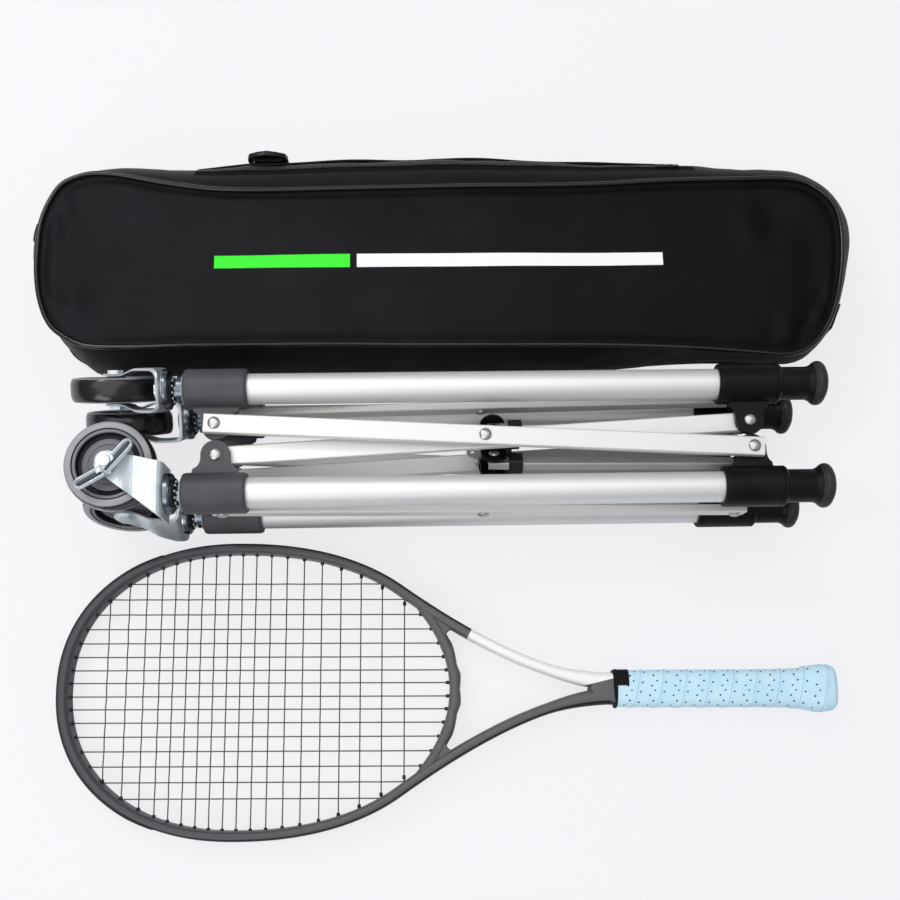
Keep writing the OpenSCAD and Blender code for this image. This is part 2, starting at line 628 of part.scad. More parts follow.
scissor_bar(FACE_AC, -1, false);  // bar_ac_inner
scissor_bar(FACE_BD, 1, true);  // bar_bd_outer
scissor_bar(FACE_BD, 1, false);  // bar_bd_inner
middle_rivet(FACE_AB);  // rivet_ab
middle_rivet(FACE_CD);  // rivet_cd
middle_rivet(FACE_AC);  // rivet_ac
middle_rivet(FACE_BD);  // rivet_bd
arm(LEG_A);  // arm_a
arm(LEG_B);  // arm_b
arm(LEG_C);  // arm_c
arm(LEG_D);  // arm_d
hub();
hub_bolt();
fork(0);  // fork_a
fork(1);  // fork_b
fork(2);  // fork_c
fork(3);  // fork_d
wheel(0);  // wheel_a
wheel(1);  // wheel_b
wheel(2);  // wheel_c
wheel(3);  // wheel_d
brake_pedal();
racket_frame();
racket_bridge();
racket_strings();
racket_bumper();
racket_grip();
racket_collar();
bag_shell();
bag_strap();
bag_buckle();
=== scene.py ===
# %% [markdown]
# # A folding ball cart, its carry bag and a racket
# The cart lies folded on its side. Its bag lies behind it and a racket lies in front of it.
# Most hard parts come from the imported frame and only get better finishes. The leg tubes, the wheels, the
# brake lever, the racket and the bag are modelled here, in the frame's own axes: X along the legs, Y across,
# Z up. Lengths in tables and named values are in millimetres, and `MM` turns them into metres.

# %% Load the frame
import json
import math
import bpy
from mathutils import Matrix, Vector, noise


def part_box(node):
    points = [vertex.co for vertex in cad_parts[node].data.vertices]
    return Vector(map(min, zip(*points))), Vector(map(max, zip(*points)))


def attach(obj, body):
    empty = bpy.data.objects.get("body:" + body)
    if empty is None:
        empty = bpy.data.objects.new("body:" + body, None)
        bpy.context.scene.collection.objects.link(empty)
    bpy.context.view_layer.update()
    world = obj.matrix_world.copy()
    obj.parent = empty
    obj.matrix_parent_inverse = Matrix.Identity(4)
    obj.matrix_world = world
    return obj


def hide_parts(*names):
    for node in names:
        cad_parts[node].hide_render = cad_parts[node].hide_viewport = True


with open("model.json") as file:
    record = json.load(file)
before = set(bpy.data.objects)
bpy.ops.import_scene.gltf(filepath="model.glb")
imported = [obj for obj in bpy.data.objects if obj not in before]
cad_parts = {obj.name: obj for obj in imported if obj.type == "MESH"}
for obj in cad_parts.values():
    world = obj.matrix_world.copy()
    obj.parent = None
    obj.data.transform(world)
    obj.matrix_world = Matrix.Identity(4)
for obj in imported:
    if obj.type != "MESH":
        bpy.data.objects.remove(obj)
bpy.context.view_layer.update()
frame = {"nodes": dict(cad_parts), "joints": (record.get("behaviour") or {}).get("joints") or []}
nodes = frame["nodes"]
MM = 0.001

# %% [markdown]
# ## Camera
# The set is seen from high above its near edge. A slightly long lens keeps the legs nearly parallel,
# while the castors, which stand higher than the floor, still show their sides. The film is shifted up a
# little, as on a studio camera, so that the whole set fits without leaning the camera further.

# %% Place the camera
PICTURE_PIXELS, FOCAL_PIXELS = 900, 1075.26
CAMERA_SPOT = (-0.02624, -0.22342, 0.97479)
CAMERA_TURN = (9.221, -1.334, -1.069)
bpy.ops.object.camera_add(location=CAMERA_SPOT, rotation=[math.radians(a) for a in CAMERA_TURN])
camera = bpy.context.object
camera.data.sensor_width = 36
camera.data.lens = FOCAL_PIXELS / PICTURE_PIXELS * camera.data.sensor_width
camera.data.shift_y = 0.12
camera.data.clip_start = 0.01
bpy.context.scene.camera = camera
print("lens:", round(camera.data.lens, 2), "mm")

# %% [markdown]
# ## Shader sums
# A finish is a few sums over the piece's own coordinates. Writing them as sums, and not as chains of boxes,
# keeps them readable. `Flow` wraps one output socket: adding or multiplying two of them adds a Math node.

# %% Flow and Finish
class Flow:
    """A number or colour that flows out of a node."""

    def __init__(self, finish, socket):
        self.finish, self.socket = finish, socket

    def math(self, operation, *values):
        return self.finish.node("ShaderNodeMath", {"operation": operation}, dict(enumerate(values)))

    def __add__(self, other): return self.math("ADD", self, other)
    def __radd__(self, other): return self.math("ADD", other, self)
    def __sub__(self, other): return self.math("SUBTRACT", self, other)
    def __rsub__(self, other): return self.math("SUBTRACT", other, self)
    def __mul__(self, other): return self.math("MULTIPLY", self, other)
    def __rmul__(self, other): return self.math("MULTIPLY", other, self)
    def __gt__(self, other): return self.math("GREATER_THAN", self, other)
    def __lt__(self, other): return self.math("LESS_THAN", self, other)
    def __abs__(self): return self.math("ABSOLUTE", self)
    def sine(self): return self.math("SINE", self)
    def fraction(self): return self.math("FRACT", self)
    def most(self, other): return self.math("MAXIMUM", self, other)
    def least(self, other): return self.math("MINIMUM", self, other)

    def ramp(self, low, high, start=0.0, end=1.0):
        """Runs smoothly from start to end while this goes from low to high."""
        return self.finish.node("ShaderNodeMapRange", {"interpolation_type": "SMOOTHSTEP"},
                                {0: self, 1: low, 2: high, 3: start, 4: end})


class Finish:
    """A material with one Principled shader, and the helpers that feed it."""

    def __init__(self, name, colour, roughness, metallic=0.0, **sockets):
        self.material = bpy.data.materials.new(name)
        self.material.use_nodes = True
        self.tree = self.material.node_tree
        self.shader = next(n for n in self.tree.nodes if n.type == "BSDF_PRINCIPLED")
        self.feed("Base Color", colour)
        self.feed("Roughness", roughness)
        self.feed("Metallic", metallic)
        for socket, value in sockets.items():
            self.feed(socket.replace("_", " "), value)

    def plug(self, socket, value):
        if isinstance(value, Flow):
            self.tree.links.new(value.socket, socket)
        else:
            socket.default_value = value

    def feed(self, socket, value):
        self.plug(self.shader.inputs[socket], value)

    def node(self, kind, settings, inputs, output=0):
        made = self.tree.nodes.new(kind)
        for name, value in settings.items():
            setattr(made, name, value)
        for name, value in inputs.items():
            self.plug(made.inputs[name], value)
        return Flow(self, made.outputs[output])

    def place(self):
        """Object coordinates, in metres."""
        return self.node("ShaderNodeTexCoord", {}, {}, "Object")

    def split(self, vector):
        made = self.node("ShaderNodeSeparateXYZ", {}, {0: vector})
        return [Flow(self, out) for out in made.socket.node.outputs]

    def stretch(self, vector, x=1.0, y=1.0, z=1.0):
        return self.node("ShaderNodeVectorMath", {"operation": "MULTIPLY"}, {0: vector, 1: (x, y, z)})

    def grain(self, vector, scale, detail=3.0, roughness=0.5):
        """Noise from 0 to 1 whose blotches are about 1 / scale metres across."""
        return self.node("ShaderNodeTexNoise", {"noise_dimensions": "3D"},
                         {"Vector": vector, "Scale": scale, "Detail": detail, "Roughness": roughness})

    def blend(self, share, first, second):
        made = self.tree.nodes.new("ShaderNodeMix")
        made.data_type = "RGBA"
        self.plug(made.inputs[0], share)
        self.plug(made.inputs[6], first)
        self.plug(made.inputs[7], second)
        return Flow(self, made.outputs[2])

    def bump(self, height, strength, depth):
        """Feeds the shader's normal with a height of that depth in metres."""
        bump = self.node("ShaderNodeBump", {}, {"Strength": strength, "Distance": depth, "Height": height})
        self.feed("Normal", bump)
        return self


def tint(red, green, blue):
    """A colour as a picture shows it, from 0 to 255, made linear."""
    return (*(tone / 255 / 12.92 if tone < 11 else ((tone / 255 + 0.055) / 1.055) ** 2.4
              for tone in (red, green, blue)), 1.0)


print("white:", tint(255, 255, 255), "mid grey:", round(tint(128, 128, 128)[0], 3))

# %% [markdown]
# ## Metal finishes
# The legs are anodised aluminium: bright, a little cloudy, with fine drawing lines along the tube.
# Long, thin noise along X makes those lines. The bars are the same metal, a little flatter and warmer, and
# the hub arms are darker.

# %% Aluminium
def drawn_metal(name, light, dark, roughness, metallic):
    finish = Finish(name, light, roughness, metallic)
    place = finish.place()
    lines = finish.grain(finish.stretch(place, 3, 900, 900), 1.0, 2.0)
    cloud = finish.grain(place, 18.0, 3.0)
    finish.feed("Base Color", finish.blend(lines * 0.35 + cloud * 0.5, light, dark))
    finish.feed("Roughness", roughness - 0.06 + cloud * 0.08 + lines * 0.06)
    return finish.bump(lines, 0.05, 0.0002)


leg_metal = drawn_metal("leg anodised aluminium", tint(240, 240, 239), tint(228, 228, 227), 0.5, 0.7)
bar_metal = drawn_metal("bar anodised aluminium", tint(236, 235, 232), tint(226, 225, 222), 0.5, 0.5)
ARM_LIGHT, ARM_DARK, ARM_METALLIC = tint(216, 216, 215), tint(198, 198, 198), 0.8
arm_metal = drawn_metal("arm anodised aluminium", ARM_LIGHT, ARM_DARK, 0.42, ARM_METALLIC)
print("metals:", leg_metal.material.name, bar_metal.material.name, arm_metal.material.name, sep=", ")

# %% [markdown]
# Each hub arm wears a moulded collar near its end, in one piece with the arm's node. The same finish paints
# both: where the place along X is inside the collar, it turns black and stops being metal.

# %% Collar on the hub arms
ARM_COLLAR = (0.0486, 0.0606)
arm_x, _, _ = arm_metal.split(arm_metal.place())
collar_here = (arm_x > ARM_COLLAR[0]) * (arm_x < ARM_COLLAR[1])
arm_tone = arm_metal.blend(arm_metal.grain(arm_metal.place(), 18.0), ARM_LIGHT, ARM_DARK)
arm_metal.feed("Base Color", arm_metal.blend(collar_here, arm_tone, tint(24, 24, 25)))
arm_metal.feed("Metallic", ARM_METALLIC - collar_here * ARM_METALLIC)
print("arm collar:", round((ARM_COLLAR[1] - ARM_COLLAR[0]) / MM, 1), "mm long")

# %% [markdown]
# Zinc plate is bright and bluish, with cloudy patches where the bath was uneven. Rivet heads are polished
# steel with small scratches. The castors' bearing parts are a duller steel, and they share a node with the
# leg's rivets, so the place along X decides which of the two shows.

# %% Zinc plate and rivet steel
def zinc_plate(name, light, dark, metallic):
    finish = Finish(name, light, 0.3, metallic)
    cloud = finish.grain(finish.place(), 55.0, 4.0, 0.6)
    finish.feed("Base Color", finish.blend(cloud.ramp(0.35, 0.7), light, dark))
    finish.feed("Roughness", 0.24 + cloud * 0.2)
    return finish.bump(finish.grain(finish.place(), 900.0, 2.0), 0.06, 0.0002)


zinc = zinc_plate("bright zinc plate", tint(236, 241, 242), tint(204, 216, 223), 0.62)
# The darker zinc is painted shade on the sunken floor of the brake lever.
zinc_shade = zinc_plate("zinc plate with painted shade", tint(100, 106, 112), tint(66, 70, 76), 0.6)

rivet_steel = Finish("rivet steel", tint(192, 191, 190), 0.2, 1.0)
rivet_scratch = rivet_steel.grain(rivet_steel.stretch(rivet_steel.place(), 300, 2500, 900), 1.0, 2.0)
rivet_steel.feed("Roughness", 0.14 + rivet_scratch * 0.16)
rivet_steel.bump(rivet_scratch, 0.08, 0.0001)

LEG_START, RACE_EDGE = -0.2205, -0.2362
leg_steel = Finish("leg steel", tint(196, 196, 196), 0.22, 1.0)
steel_x, _, _ = leg_steel.split(leg_steel.place())
bearing_part = (steel_x < LEG_START) * (steel_x > RACE_EDGE)
leg_steel.feed("Base Color", leg_steel.blend(bearing_part, tint(196, 196, 196), tint(112, 119, 126)))
leg_steel.feed("Roughness", 0.18 + leg_steel.grain(leg_steel.place(), 400.0, 2.0) * 0.14)
print("bearing parts: X from", RACE_EDGE, "to", LEG_START, "m")

# %% [markdown]
# ## Plastics and rubber
# The brackets are charcoal nylon, the sliders and caps a deeper black with a satin skin. A moulded skin has
# a very fine leather-like grain, which a fine noise raises, while a coarse one clouds its colour and gloss.
# The flange of a cap is painted paler, a painted highlight, so the place along X changes its colour. The wheel takes
# five of these.

# %% Moulded plastics
def moulded(name, colour, pale, roughness, depth=0.00012, gloss=0.5):
    finish = Finish(name, colour, roughness, 0.0, Specular_IOR_Level=gloss)
    place = finish.place()
    skin = finish.grain(place, 1500.0, 3.0)
    cloud = finish.grain(place, 40.0, 3.0)
    finish.feed("Base Color", finish.blend(cloud.ramp(0.35, 0.75), colour, pale))
    finish.feed("Roughness", roughness - 0.05 + cloud * 0.1)
    return finish.bump(skin, 0.35, depth)


FLANGE_X = 0.3017
bracket_nylon = moulded("charcoal nylon", tint(64, 64, 68), tint(74, 74, 79), 0.52)
black_nylon = moulded("black nylon", tint(15, 14, 13), tint(22, 21, 20), 0.36, gloss=0.14)
cap_nylon = moulded("cap nylon with painted flange highlight", tint(15, 14, 13), tint(22, 21, 20), 0.36, gloss=0.14)
flange_x, _, _ = cap_nylon.split(cap_nylon.place())
# The paler flange is a painted highlight on the cap's rim.
cap_nylon.feed("Base Color", cap_nylon.blend(flange_x > FLANGE_X, tint(18, 17, 16), tint(52, 50, 53)))
buckle_acetal = moulded("black acetal", tint(18, 18, 19), tint(26, 26, 27), 0.34, gloss=0.25)
bumper_nylon = moulded("bumper nylon", tint(34, 34, 36), tint(44, 44, 46), 0.45, gloss=0.3)
collar_rubber = moulded("collar rubber", tint(18, 17, 18), tint(26, 25, 26), 0.6, 0.0002, gloss=0.12)
tread_rubber = moulded("wheel tread", tint(12, 12, 15), tint(20, 20, 23), 0.2, gloss=0.6)
side_rubber = moulded("wheel side", tint(150, 149, 154), tint(162, 161, 166), 0.42)
lip_rubber = moulded("wheel lip", tint(116, 114, 120), tint(128, 126, 132), 0.42)
disc_nylon = moulded("wheel disc", tint(98, 95, 102), tint(110, 107, 114), 0.42)
# Near-black nylon: the race seals' own colour, and painted shade in the wheel's groove and recess.
dark_nylon_and_recess_shade = moulded("dark nylon and painted recess shade", tint(24, 23, 28), tint(32, 31, 36), 0.5, gloss=0.2)
print("finishes so far:", len(bpy.data.materials))

# %% [markdown]
# ## Racket finishes
# The beam is satin graphite lacquer, which shows paler towards the hand. Its outer slope takes a darker one
# with hardly any coat, painted shade on that slope. The far throat beam is sprayed white, with a soft edge
# where the white begins, so the colour follows the place along the beam.

# %% Racket lacquer
RACKET_START = Vector((-347.9, -180.7)) * MM
RACKET_TURN = math.radians(-0.86)


def beam_lacquer(name, dark, light, gloss):
    finish = Finish(name, dark, 0.34, 0.0, Coat_Weight=gloss, Coat_Roughness=0.1, Specular_IOR_Level=gloss)
    x, y, z = finish.split(finish.place())
    flake = finish.grain(finish.place(), 2600.0, 1.0)
    graphite = finish.blend(flake.ramp(0.5, 0.75) * 0.4 + x.ramp(-0.35, 0.06) * 0.6, dark, light)
    along = x - RACKET_START.x
    across = y - RACKET_START.y + along * math.sin(-RACKET_TURN)
    down_beam = along * 0.883 - across * 0.469
    far_half = across > (along - 0.453).most(0.0) * 0.245
    white_here = down_beam.ramp(0.2968, 0.2982) * far_half * (along > 0.357)
    finish.feed("Base Color", finish.blend(white_here, graphite, tint(248, 248, 247)))
    finish.feed("Roughness", 0.3 + flake * 0.1)
    return finish


lacquer = beam_lacquer("graphite lacquer", tint(70, 70, 75), tint(104, 103, 105), 0.2)
# The darker lacquer on the outer slope is painted shade.
outer_slope_shade_lacquer = beam_lacquer("graphite lacquer with painted outer slope shade", tint(22, 22, 25), tint(40, 40, 42), 0.06)

string_gut = Finish("string", tint(60, 60, 61), 0.35)
string_gut.feed("Base Color", string_gut.blend(string_gut.grain(string_gut.place(), 700.0, 2.0),
                                               tint(60, 60, 61), tint(92, 92, 93)))
print("finishes so far:", len(bpy.data.materials))

# %% [markdown]
# ## Finishing the carried-over parts
# A CAD node keeps its shape. Only the material in its slot changes. The nodes that a modelled piece stands
# for are hidden further on, so they are left out here.

# %% Paint the CAD nodes
painted = set()


def paint(name_start, finish):
    for name in nodes:
        if name.startswith(name_start):
            painted.add(name)
            for slot in nodes[name].material_slots:
                slot.material = finish.material


for leg in "abcd":
    paint(f"leg_{leg}_fasteners", leg_steel)
    paint(f"slider_{leg}", black_nylon)
    paint(f"slider_{leg}_rivets", rivet_steel)
for name_start, finish in (("bracket_", bracket_nylon), ("cap_", cap_nylon), ("bar_", bar_metal),
                           ("arm_", arm_metal), ("rivet_", rivet_steel), ("hub", black_nylon),
                           ("hub_bolt", rivet_steel), ("fork_", zinc)):
    paint(name_start, finish)
print("painted:", len(painted), "of", len(nodes), "nodes")

# %% [markdown]
# ## Tools for modelling
# These few helpers do what a hand does between two operators: select one object alone, put a finished
# piece's place into its mesh, apply a modifier, and turn a shell's faces outwards. `spun`, `sweep` and
# `prism` start most of the pieces.

# %% Modelling helpers
def only(obj):
    bpy.ops.object.select_all(action="DESELECT")
    obj.select_set(True)
    bpy.context.view_layer.objects.active = obj


def settle(obj, name, move=None):
    """Names a piece and applies its place, so that its object sits at the origin."""
    if move is not None:
        obj.matrix_world = move @ obj.matrix_world
    only(obj)
    bpy.ops.object.transform_apply(location=True, rotation=True, scale=True)
    obj.name = obj.data.name = name
    return obj


def apply_modifier(obj, kind, **settings):
    only(obj)
    modifier = obj.modifiers.new(kind, kind)
    for name, value in settings.items():
        setattr(modifier, name, value)
    bpy.ops.object.modifier_apply(modifier=modifier.name)
    return obj


def bevel(obj, width, segments=2, corner=None):
    """Breaks the edges of a piece, or only those that turn by more than the corner, in degrees."""
    limit = {} if corner is None else {"limit_method": "ANGLE", "angle_limit": math.radians(corner)}
    return apply_modifier(obj, "BEVEL", width=width * MM, segments=segments, **limit)


def smooth(obj, degrees=40):
    only(obj)
    bpy.ops.object.shade_smooth_by_angle(angle=math.radians(degrees))
    return obj


def face_out(obj):
    only(obj)
    bpy.ops.object.mode_set(mode="EDIT")
    bpy.ops.mesh.select_all(action="SELECT")
    bpy.ops.mesh.normals_make_consistent(inside=False)
    bpy.ops.object.mode_set(mode="OBJECT")
    return obj


def from_points(name, points, edges=(), faces=()):
    mesh = bpy.data.meshes.new(name)
    mesh.from_pydata([Vector(p) for p in points], list(edges), list(faces))
    obj = bpy.data.objects.new(name, mesh)
    bpy.context.scene.collection.objects.link(obj)
    return obj


def spun(name, profile, steps=72):
    """A turned piece: a chain of (radius, height) in millimetres, spun about Z."""
    points = [(r * MM, 0, z * MM) for r, z in profile]
    obj = from_points(name, points, [(k, k + 1) for k in range(len(points) - 1)])
    only(obj)
    bpy.ops.object.mode_set(mode="EDIT")
    bpy.ops.mesh.select_all(action="SELECT")
    bpy.ops.mesh.spin(steps=steps, angle=math.tau, center=(0, 0, 0), axis=(0, 0, 1))
    bpy.ops.mesh.select_all(action="SELECT")
    bpy.ops.mesh.remove_doubles(threshold=1e-6)
    bpy.ops.object.mode_set(mode="OBJECT")
    return smooth(face_out(obj))


def give(obj, *finishes):
    for finish in finishes:
        obj.data.materials.append(finish.material)
    return obj


def ride_as(obj, body, slot, *replaced):
    """A finished piece rides on its body and stands for CAD nodes. Its slot is not used."""
    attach(obj, body)
    if replaced:
        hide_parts(*replaced)


def sweep(name, path, section, closed=False):
    """A skin over rings: section(k) gives the ring of points at the k-th place of the path."""
    rings = [section(k) for k in range(len(path))]
    count = len(rings[0])
    faces = []
    for r in range(len(rings) if closed else len(rings) - 1):
        here, there = r * count, (r + 1) % len(rings) * count
        faces += [(here + k, here + (k + 1) % count, there + (k + 1) % count, there + k) for k in range(count)]
    if not closed:
        faces += [tuple(range(count - 1, -1, -1)), tuple(range((len(rings) - 1) * count, len(rings) * count))]
    return face_out(from_points(name, [p for ring in rings for p in ring], faces=faces))


def prism(name, outline, half_high):
    """A flat outline in millimetres, as thick as twice half_high."""
    count = len(outline)
    points = [Vector((x, y, z)) * MM for z in (-half_high, half_high) for x, y in outline]
    ends = [tuple(range(count - 1, -1, -1)), tuple(range(count, 2 * count))]
    walls = [(k, (k + 1) % count, count + (k + 1) % count, count + k) for k in range(count)]
    return from_points(name, points, faces=ends + walls)


def joined(name, parts):
    bpy.ops.object.select_all(action="DESELECT")
    for part in parts:
        part.select_set(True)
    bpy.context.view_layer.objects.active = parts[0]
    bpy.ops.object.join()
    bpy.context.object.name = name
    return bpy.context.object


def joint_named(name):
    return next(j for j in frame["joints"] if j["name"] == name)


def smooth_curve(a, b, c, d, t):
    """The place at t, from 0 at b to 1 at c, on a smooth line through four points."""
    return 0.5 * (2 * b + (c - a) * t + (2 * a - 5 * b + 4 * c - d) * t * t + (3 * b - a - 3 * c + d) * t ** 3)


Z_TO_X = Matrix.Rotation(math.pi / 2, 4, "Y")
print("a step along Z, turned:", [round(part, 3) for part in Z_TO_X @ Vector((0, 0, 1))])

# %% [markdown]
# ## Leg tubes
# Light runs along a drawn tube in one smooth gradient, so flat facets would show as stripes. Each leg's tube
# is spun again from the same radii with many more steps, with its bore and its broken edges.

# %% Spin the leg tubes
TUBE_OUTER, TUBE_INNER, TUBE_EDGE, TUBE_STEPS = 12.7, 11.2, 0.3, 128
for leg in "abcd":
    low, high = (Vector(corner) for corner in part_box(f"leg_{leg}_tube"))
    length = (high.x - low.x) / MM
    profile = [(TUBE_INNER, 0), (TUBE_OUTER - TUBE_EDGE, 0), (TUBE_OUTER, TUBE_EDGE),
               (TUBE_OUTER, length - TUBE_EDGE), (TUBE_OUTER - TUBE_EDGE, length),
               (TUBE_INNER, length), (TUBE_INNER, 0)]
    tube_end = Matrix.Translation((low.x, (low.y + high.y) / 2, (low.z + high.z) / 2))
    leg_tube = settle(give(spun("tube", profile, TUBE_STEPS), leg_metal), f"tube_{leg}", tube_end @ Z_TO_X)
    ride_as(leg_tube, f"leg_{leg}", "leg_aluminium", f"leg_{leg}_tube")
print("leg tubes:", round(length), "mm long")

# %% [markdown]
# ## Wheels
# A castor wheel is a turned shape: a glossy black tread that wraps round the edge, a paler flat side with a
# thin groove, a recess, and a disc with its boss. The groove and the recess are painted near black, painted
# shade. One profile is spun once, each band of its radius gets its own finish, and each castor gets its own
# copy, turned so that its axis lies along its axle.

# %% Spin one wheel and place four
WHEEL_PROFILE = [(4.1, 11.0), (7.3, 11.0), (7.9, 10.6), (8.6, 7.9), (14.0, 7.2), (15.6, 7.0), (16.0, 6.4),
                 (16.6, 6.4), (17.0, 6.9), (21.0, 6.7), (21.8, 6.2), (22.3, 4.6), (25.6, 4.8), (26.2, 8.8),
                 (26.7, 9.7), (28.6, 10.0), (28.9, 9.3), (29.6, 9.3), (29.9, 10.0), (30.5, 10.3), (34.6, 9.8),
                 (35.3, 9.2), (35.6, 8.6), (36.3, 7.2), (36.85, 4.6), (37.0, 2.0)]
wheel = spun("wheel", WHEEL_PROFILE + [(r, -z) for r, z in reversed(WHEEL_PROFILE)])
# The groove and the recess take the near-black finish: painted shade.
give(wheel, disc_nylon, dark_nylon_and_recess_shade, lip_rubber, dark_nylon_and_recess_shade, side_rubber, tread_rubber)
BAND_ENDS = [radius * MM for radius in (21.9, 26.3, 28.8, 29.8, 35.4)]
for face in wheel.data.polygons:
    face.material_index = sum(Vector(face.center[:2]).length > end for end in BAND_ENDS)
for leg in "abcd":
    spin = joint_named(f"wheel_{leg}_spin")
    turn = Vector((0, 0, 1)).rotation_difference(Vector(spin["axis"])).to_matrix().to_4x4()
    copy = wheel.copy()
    copy.data = wheel.data.copy()
    bpy.context.scene.collection.objects.link(copy)
    settle(copy, f"castor_wheel_{leg}", Matrix.Translation(Vector(spin["pos_m"])) @ turn)
    ride_as(copy, f"wheel_{leg}", "wheel_tread", f"wheel_{leg}")
bpy.data.objects.remove(wheel)

# %% [markdown]
# Between each fork and its leg sits the castor's bearing. A dark ring holds a circle of small steel balls,
# and a bright washer lies against the moulded bracket. Castor b sits closer to its bracket than the others,
# so its washer goes back by as much.

# %% Ball races and washers
RACE_PROFILE = [(7.2, -9.3), (12.2, -9.3), (12.7, -9.8), (12.7, -10.5), (7.2, -10.5), (7.2, -9.3)]
WASHER_PROFILE = [(11.6, -0.1), (12.6, -0.1), (12.9, -0.6), (12.6, -1.2), (11.6, -1.2), (11.6, -0.1)]
SMALL_STEPS = 48
STEM_LENGTH, SEAT_B = 20, 4
BALL_COUNT, BALL_R, BALL_CIRCLE, BALL_HEIGHT = 12, 1.15, 10.2, -9.0
for leg in "abcd":
    swivel = joint_named(f"swivel_{leg}")
    on_stem = Matrix.Translation(Vector(swivel["pos_m"]) + Vector((STEM_LENGTH * MM, 0, 0))) @ Z_TO_X
    race = give(spun("race", RACE_PROFILE, SMALL_STEPS), dark_nylon_and_recess_shade)
    washer = spun("washer", WASHER_PROFILE, SMALL_STEPS)
    if leg == "b":
        washer.location.z -= SEAT_B * MM
    balls = []
    for k in range(BALL_COUNT):
        angle = math.tau * k / BALL_COUNT
        bpy.ops.mesh.primitive_ico_sphere_add(subdivisions=2, radius=BALL_R * MM, location=(
            BALL_CIRCLE * MM * math.cos(angle), BALL_CIRCLE * MM * math.sin(angle), BALL_HEIGHT * MM))
        balls.append(bpy.context.object)
    bright = give(smooth(joined("race_steel", [washer] + balls), 60), zinc)
    ride_as(settle(race, f"race_seal_{leg}", on_stem), f"leg_{leg}", "black_plastic")
    ride_as(settle(bright, f"race_steel_{leg}", on_stem), f"leg_{leg}", "zinc_steel")
print("races: 4, each with", len(balls), "balls")

# %% [markdown]
# The brake lever is a pressing: two leaves in a V, one to lock and one to free the wheel, each with a raised
# rim round a sunken floor. A capsule outline is extruded, its top is inset by the rim's width, and the inner
# face is pushed down. The sunken floor takes a darker zinc, painted shade. The leaves tilt up on their outer
# sides and meet in a flat plate on the axle bolt.

# %% Press the brake lever
LEAF_R, LEAF_RIM, LEAF_STEP, LEAF_SINK, LEAF_HALF = 5.6, 1.1, 0.3, 2.2, 1.5
LEVER_HEIGHT, LEAF_TILT, LEAF_BACK = 18.3, math.radians(-28), 9


def brake_leaf(length, turn):
    outline = [(0, -LEAF_R)] + [(length - LEAF_R + LEAF_R * math.sin(a), -LEAF_R * math.cos(a))
                                for a in [math.pi * k / 16 for k in range(17)]] + [(0, LEAF_R)]
    leaf = prism("leaf", outline, LEAF_HALF)
    only(leaf)
    bpy.ops.object.mode_set(mode="EDIT")
    bpy.ops.mesh.select_all(action="DESELECT")
    bpy.ops.object.mode_set(mode="OBJECT")
    leaf.data.polygons[1].select = True
    bpy.ops.object.mode_set(mode="EDIT")
    bpy.ops.mesh.inset(thickness=LEAF_RIM * MM)
    bpy.ops.mesh.inset(thickness=LEAF_STEP * MM, depth=-LEAF_SINK * MM)
    bpy.ops.object.mode_set(mode="OBJECT")
    # The sunken floor takes the darker zinc: painted shade.
    give(leaf, zinc, zinc_shade)
    for face in leaf.data.polygons:
        if face.select:
            face.material_index = 1
    bevel(leaf, 0.35, corner=50)
    hinge_line = Matrix.Translation((0, -LEAF_R * MM, -0.4 * MM))
    leaf.matrix_world = (Matrix.Translation((0, -LEAF_BACK * MM, 0)) @ turn
                         @ Matrix.Translation((0, LEAF_R * MM, 1 * MM)) @ Matrix.Rotation(LEAF_TILT, 4, "X")
                         @ hinge_line)
    return settle(smooth(leaf), "leaf")


lock_leaf = brake_leaf(33, Matrix.Rotation(math.radians(49), 4, "Z"))
free_leaf = face_out(brake_leaf(25, Matrix.Scale(-1, 4, (1, 0, 0)) @ Matrix.Rotation(math.radians(-30), 4, "Z")))
LEVER_PLATE = [(0, 0), (7.4, 0), (8.0, 0.5), (8.0, 1.6), (7.4, 2.1), (5.4, 2.1), (5.2, 2.3), (5.2, 3.3),
               (4.6, 3.9), (0, 4.1)]
plate = give(spun("plate", LEVER_PLATE, SMALL_STEPS), zinc)
neck = prism("neck", [(-6, -11), (5, -11), (6.5, -2), (-7, -2)], 1.0)
neck.location.z = 1 * MM
give(smooth(bevel(neck, 0.3)), zinc)
spin_b = joint_named("wheel_b_spin")
axle_b = Vector(spin_b["axis"])
on_lever = (Matrix.Translation(Vector(spin_b["pos_m"]) + axle_b * LEVER_HEIGHT * MM)
            @ Matrix.Rotation(math.atan2(-axle_b.y, axle_b.z), 4, "X"))
brake_lever = joined("brake_lever", [lock_leaf, free_leaf, plate, neck])
ride_as(settle(brake_lever, "brake_lever", on_lever), "brake_pedal", "zinc_steel", "brake_pedal")
print("brake lever faces:", len(brake_lever.data.polygons))

# %% [markdown]
# ## Racket frame
# The head and both throat beams are one hairpin. Its middle line is an egg, a little fuller than an ellipse,
# which leaves along its tangent into the shaft. The section is an oval box, and its top is a flat face
# between a long outer slope and a short inner one. The outer slope wears the darker lacquer, painted shade.

# %% The racket's middle line
HEAD_X, HEAD_TIP, HEAD_THROAT, HEAD_HALF = 158.0, 153.1, 189.5, 125.9
FULLNESS = 2.175
LEAVE = math.radians(43.4)
SHAFT_Y, BEAM_H, BEAM_W = 7.8, 22.0, 9.26
THROAT_PULL, THROAT_BEND, THROAT_END = 163.4, 489.8, 500
THROAT_STEPS, HEAD_STEPS = 40, 70
LIE = math.radians(0.62)
on_racket = (Matrix.Translation((RACKET_START.x, RACKET_START.y, (BEAM_H / 2 + 0.1) * MM))
             @ Matrix.Rotation(RACKET_TURN, 4, "Z") @ Matrix.Rotation(-LIE, 4, "Y"))


def head_point(angle):
    c, s = math.cos(angle), math.sin(angle)
    out = (abs(c) ** FULLNESS + abs(s) ** FULLNESS) ** (-1 / FULLNESS)
    return Vector((HEAD_X + (HEAD_TIP if c < 0 else HEAD_THROAT) * c * out, HEAD_HALF * s * out, 0))


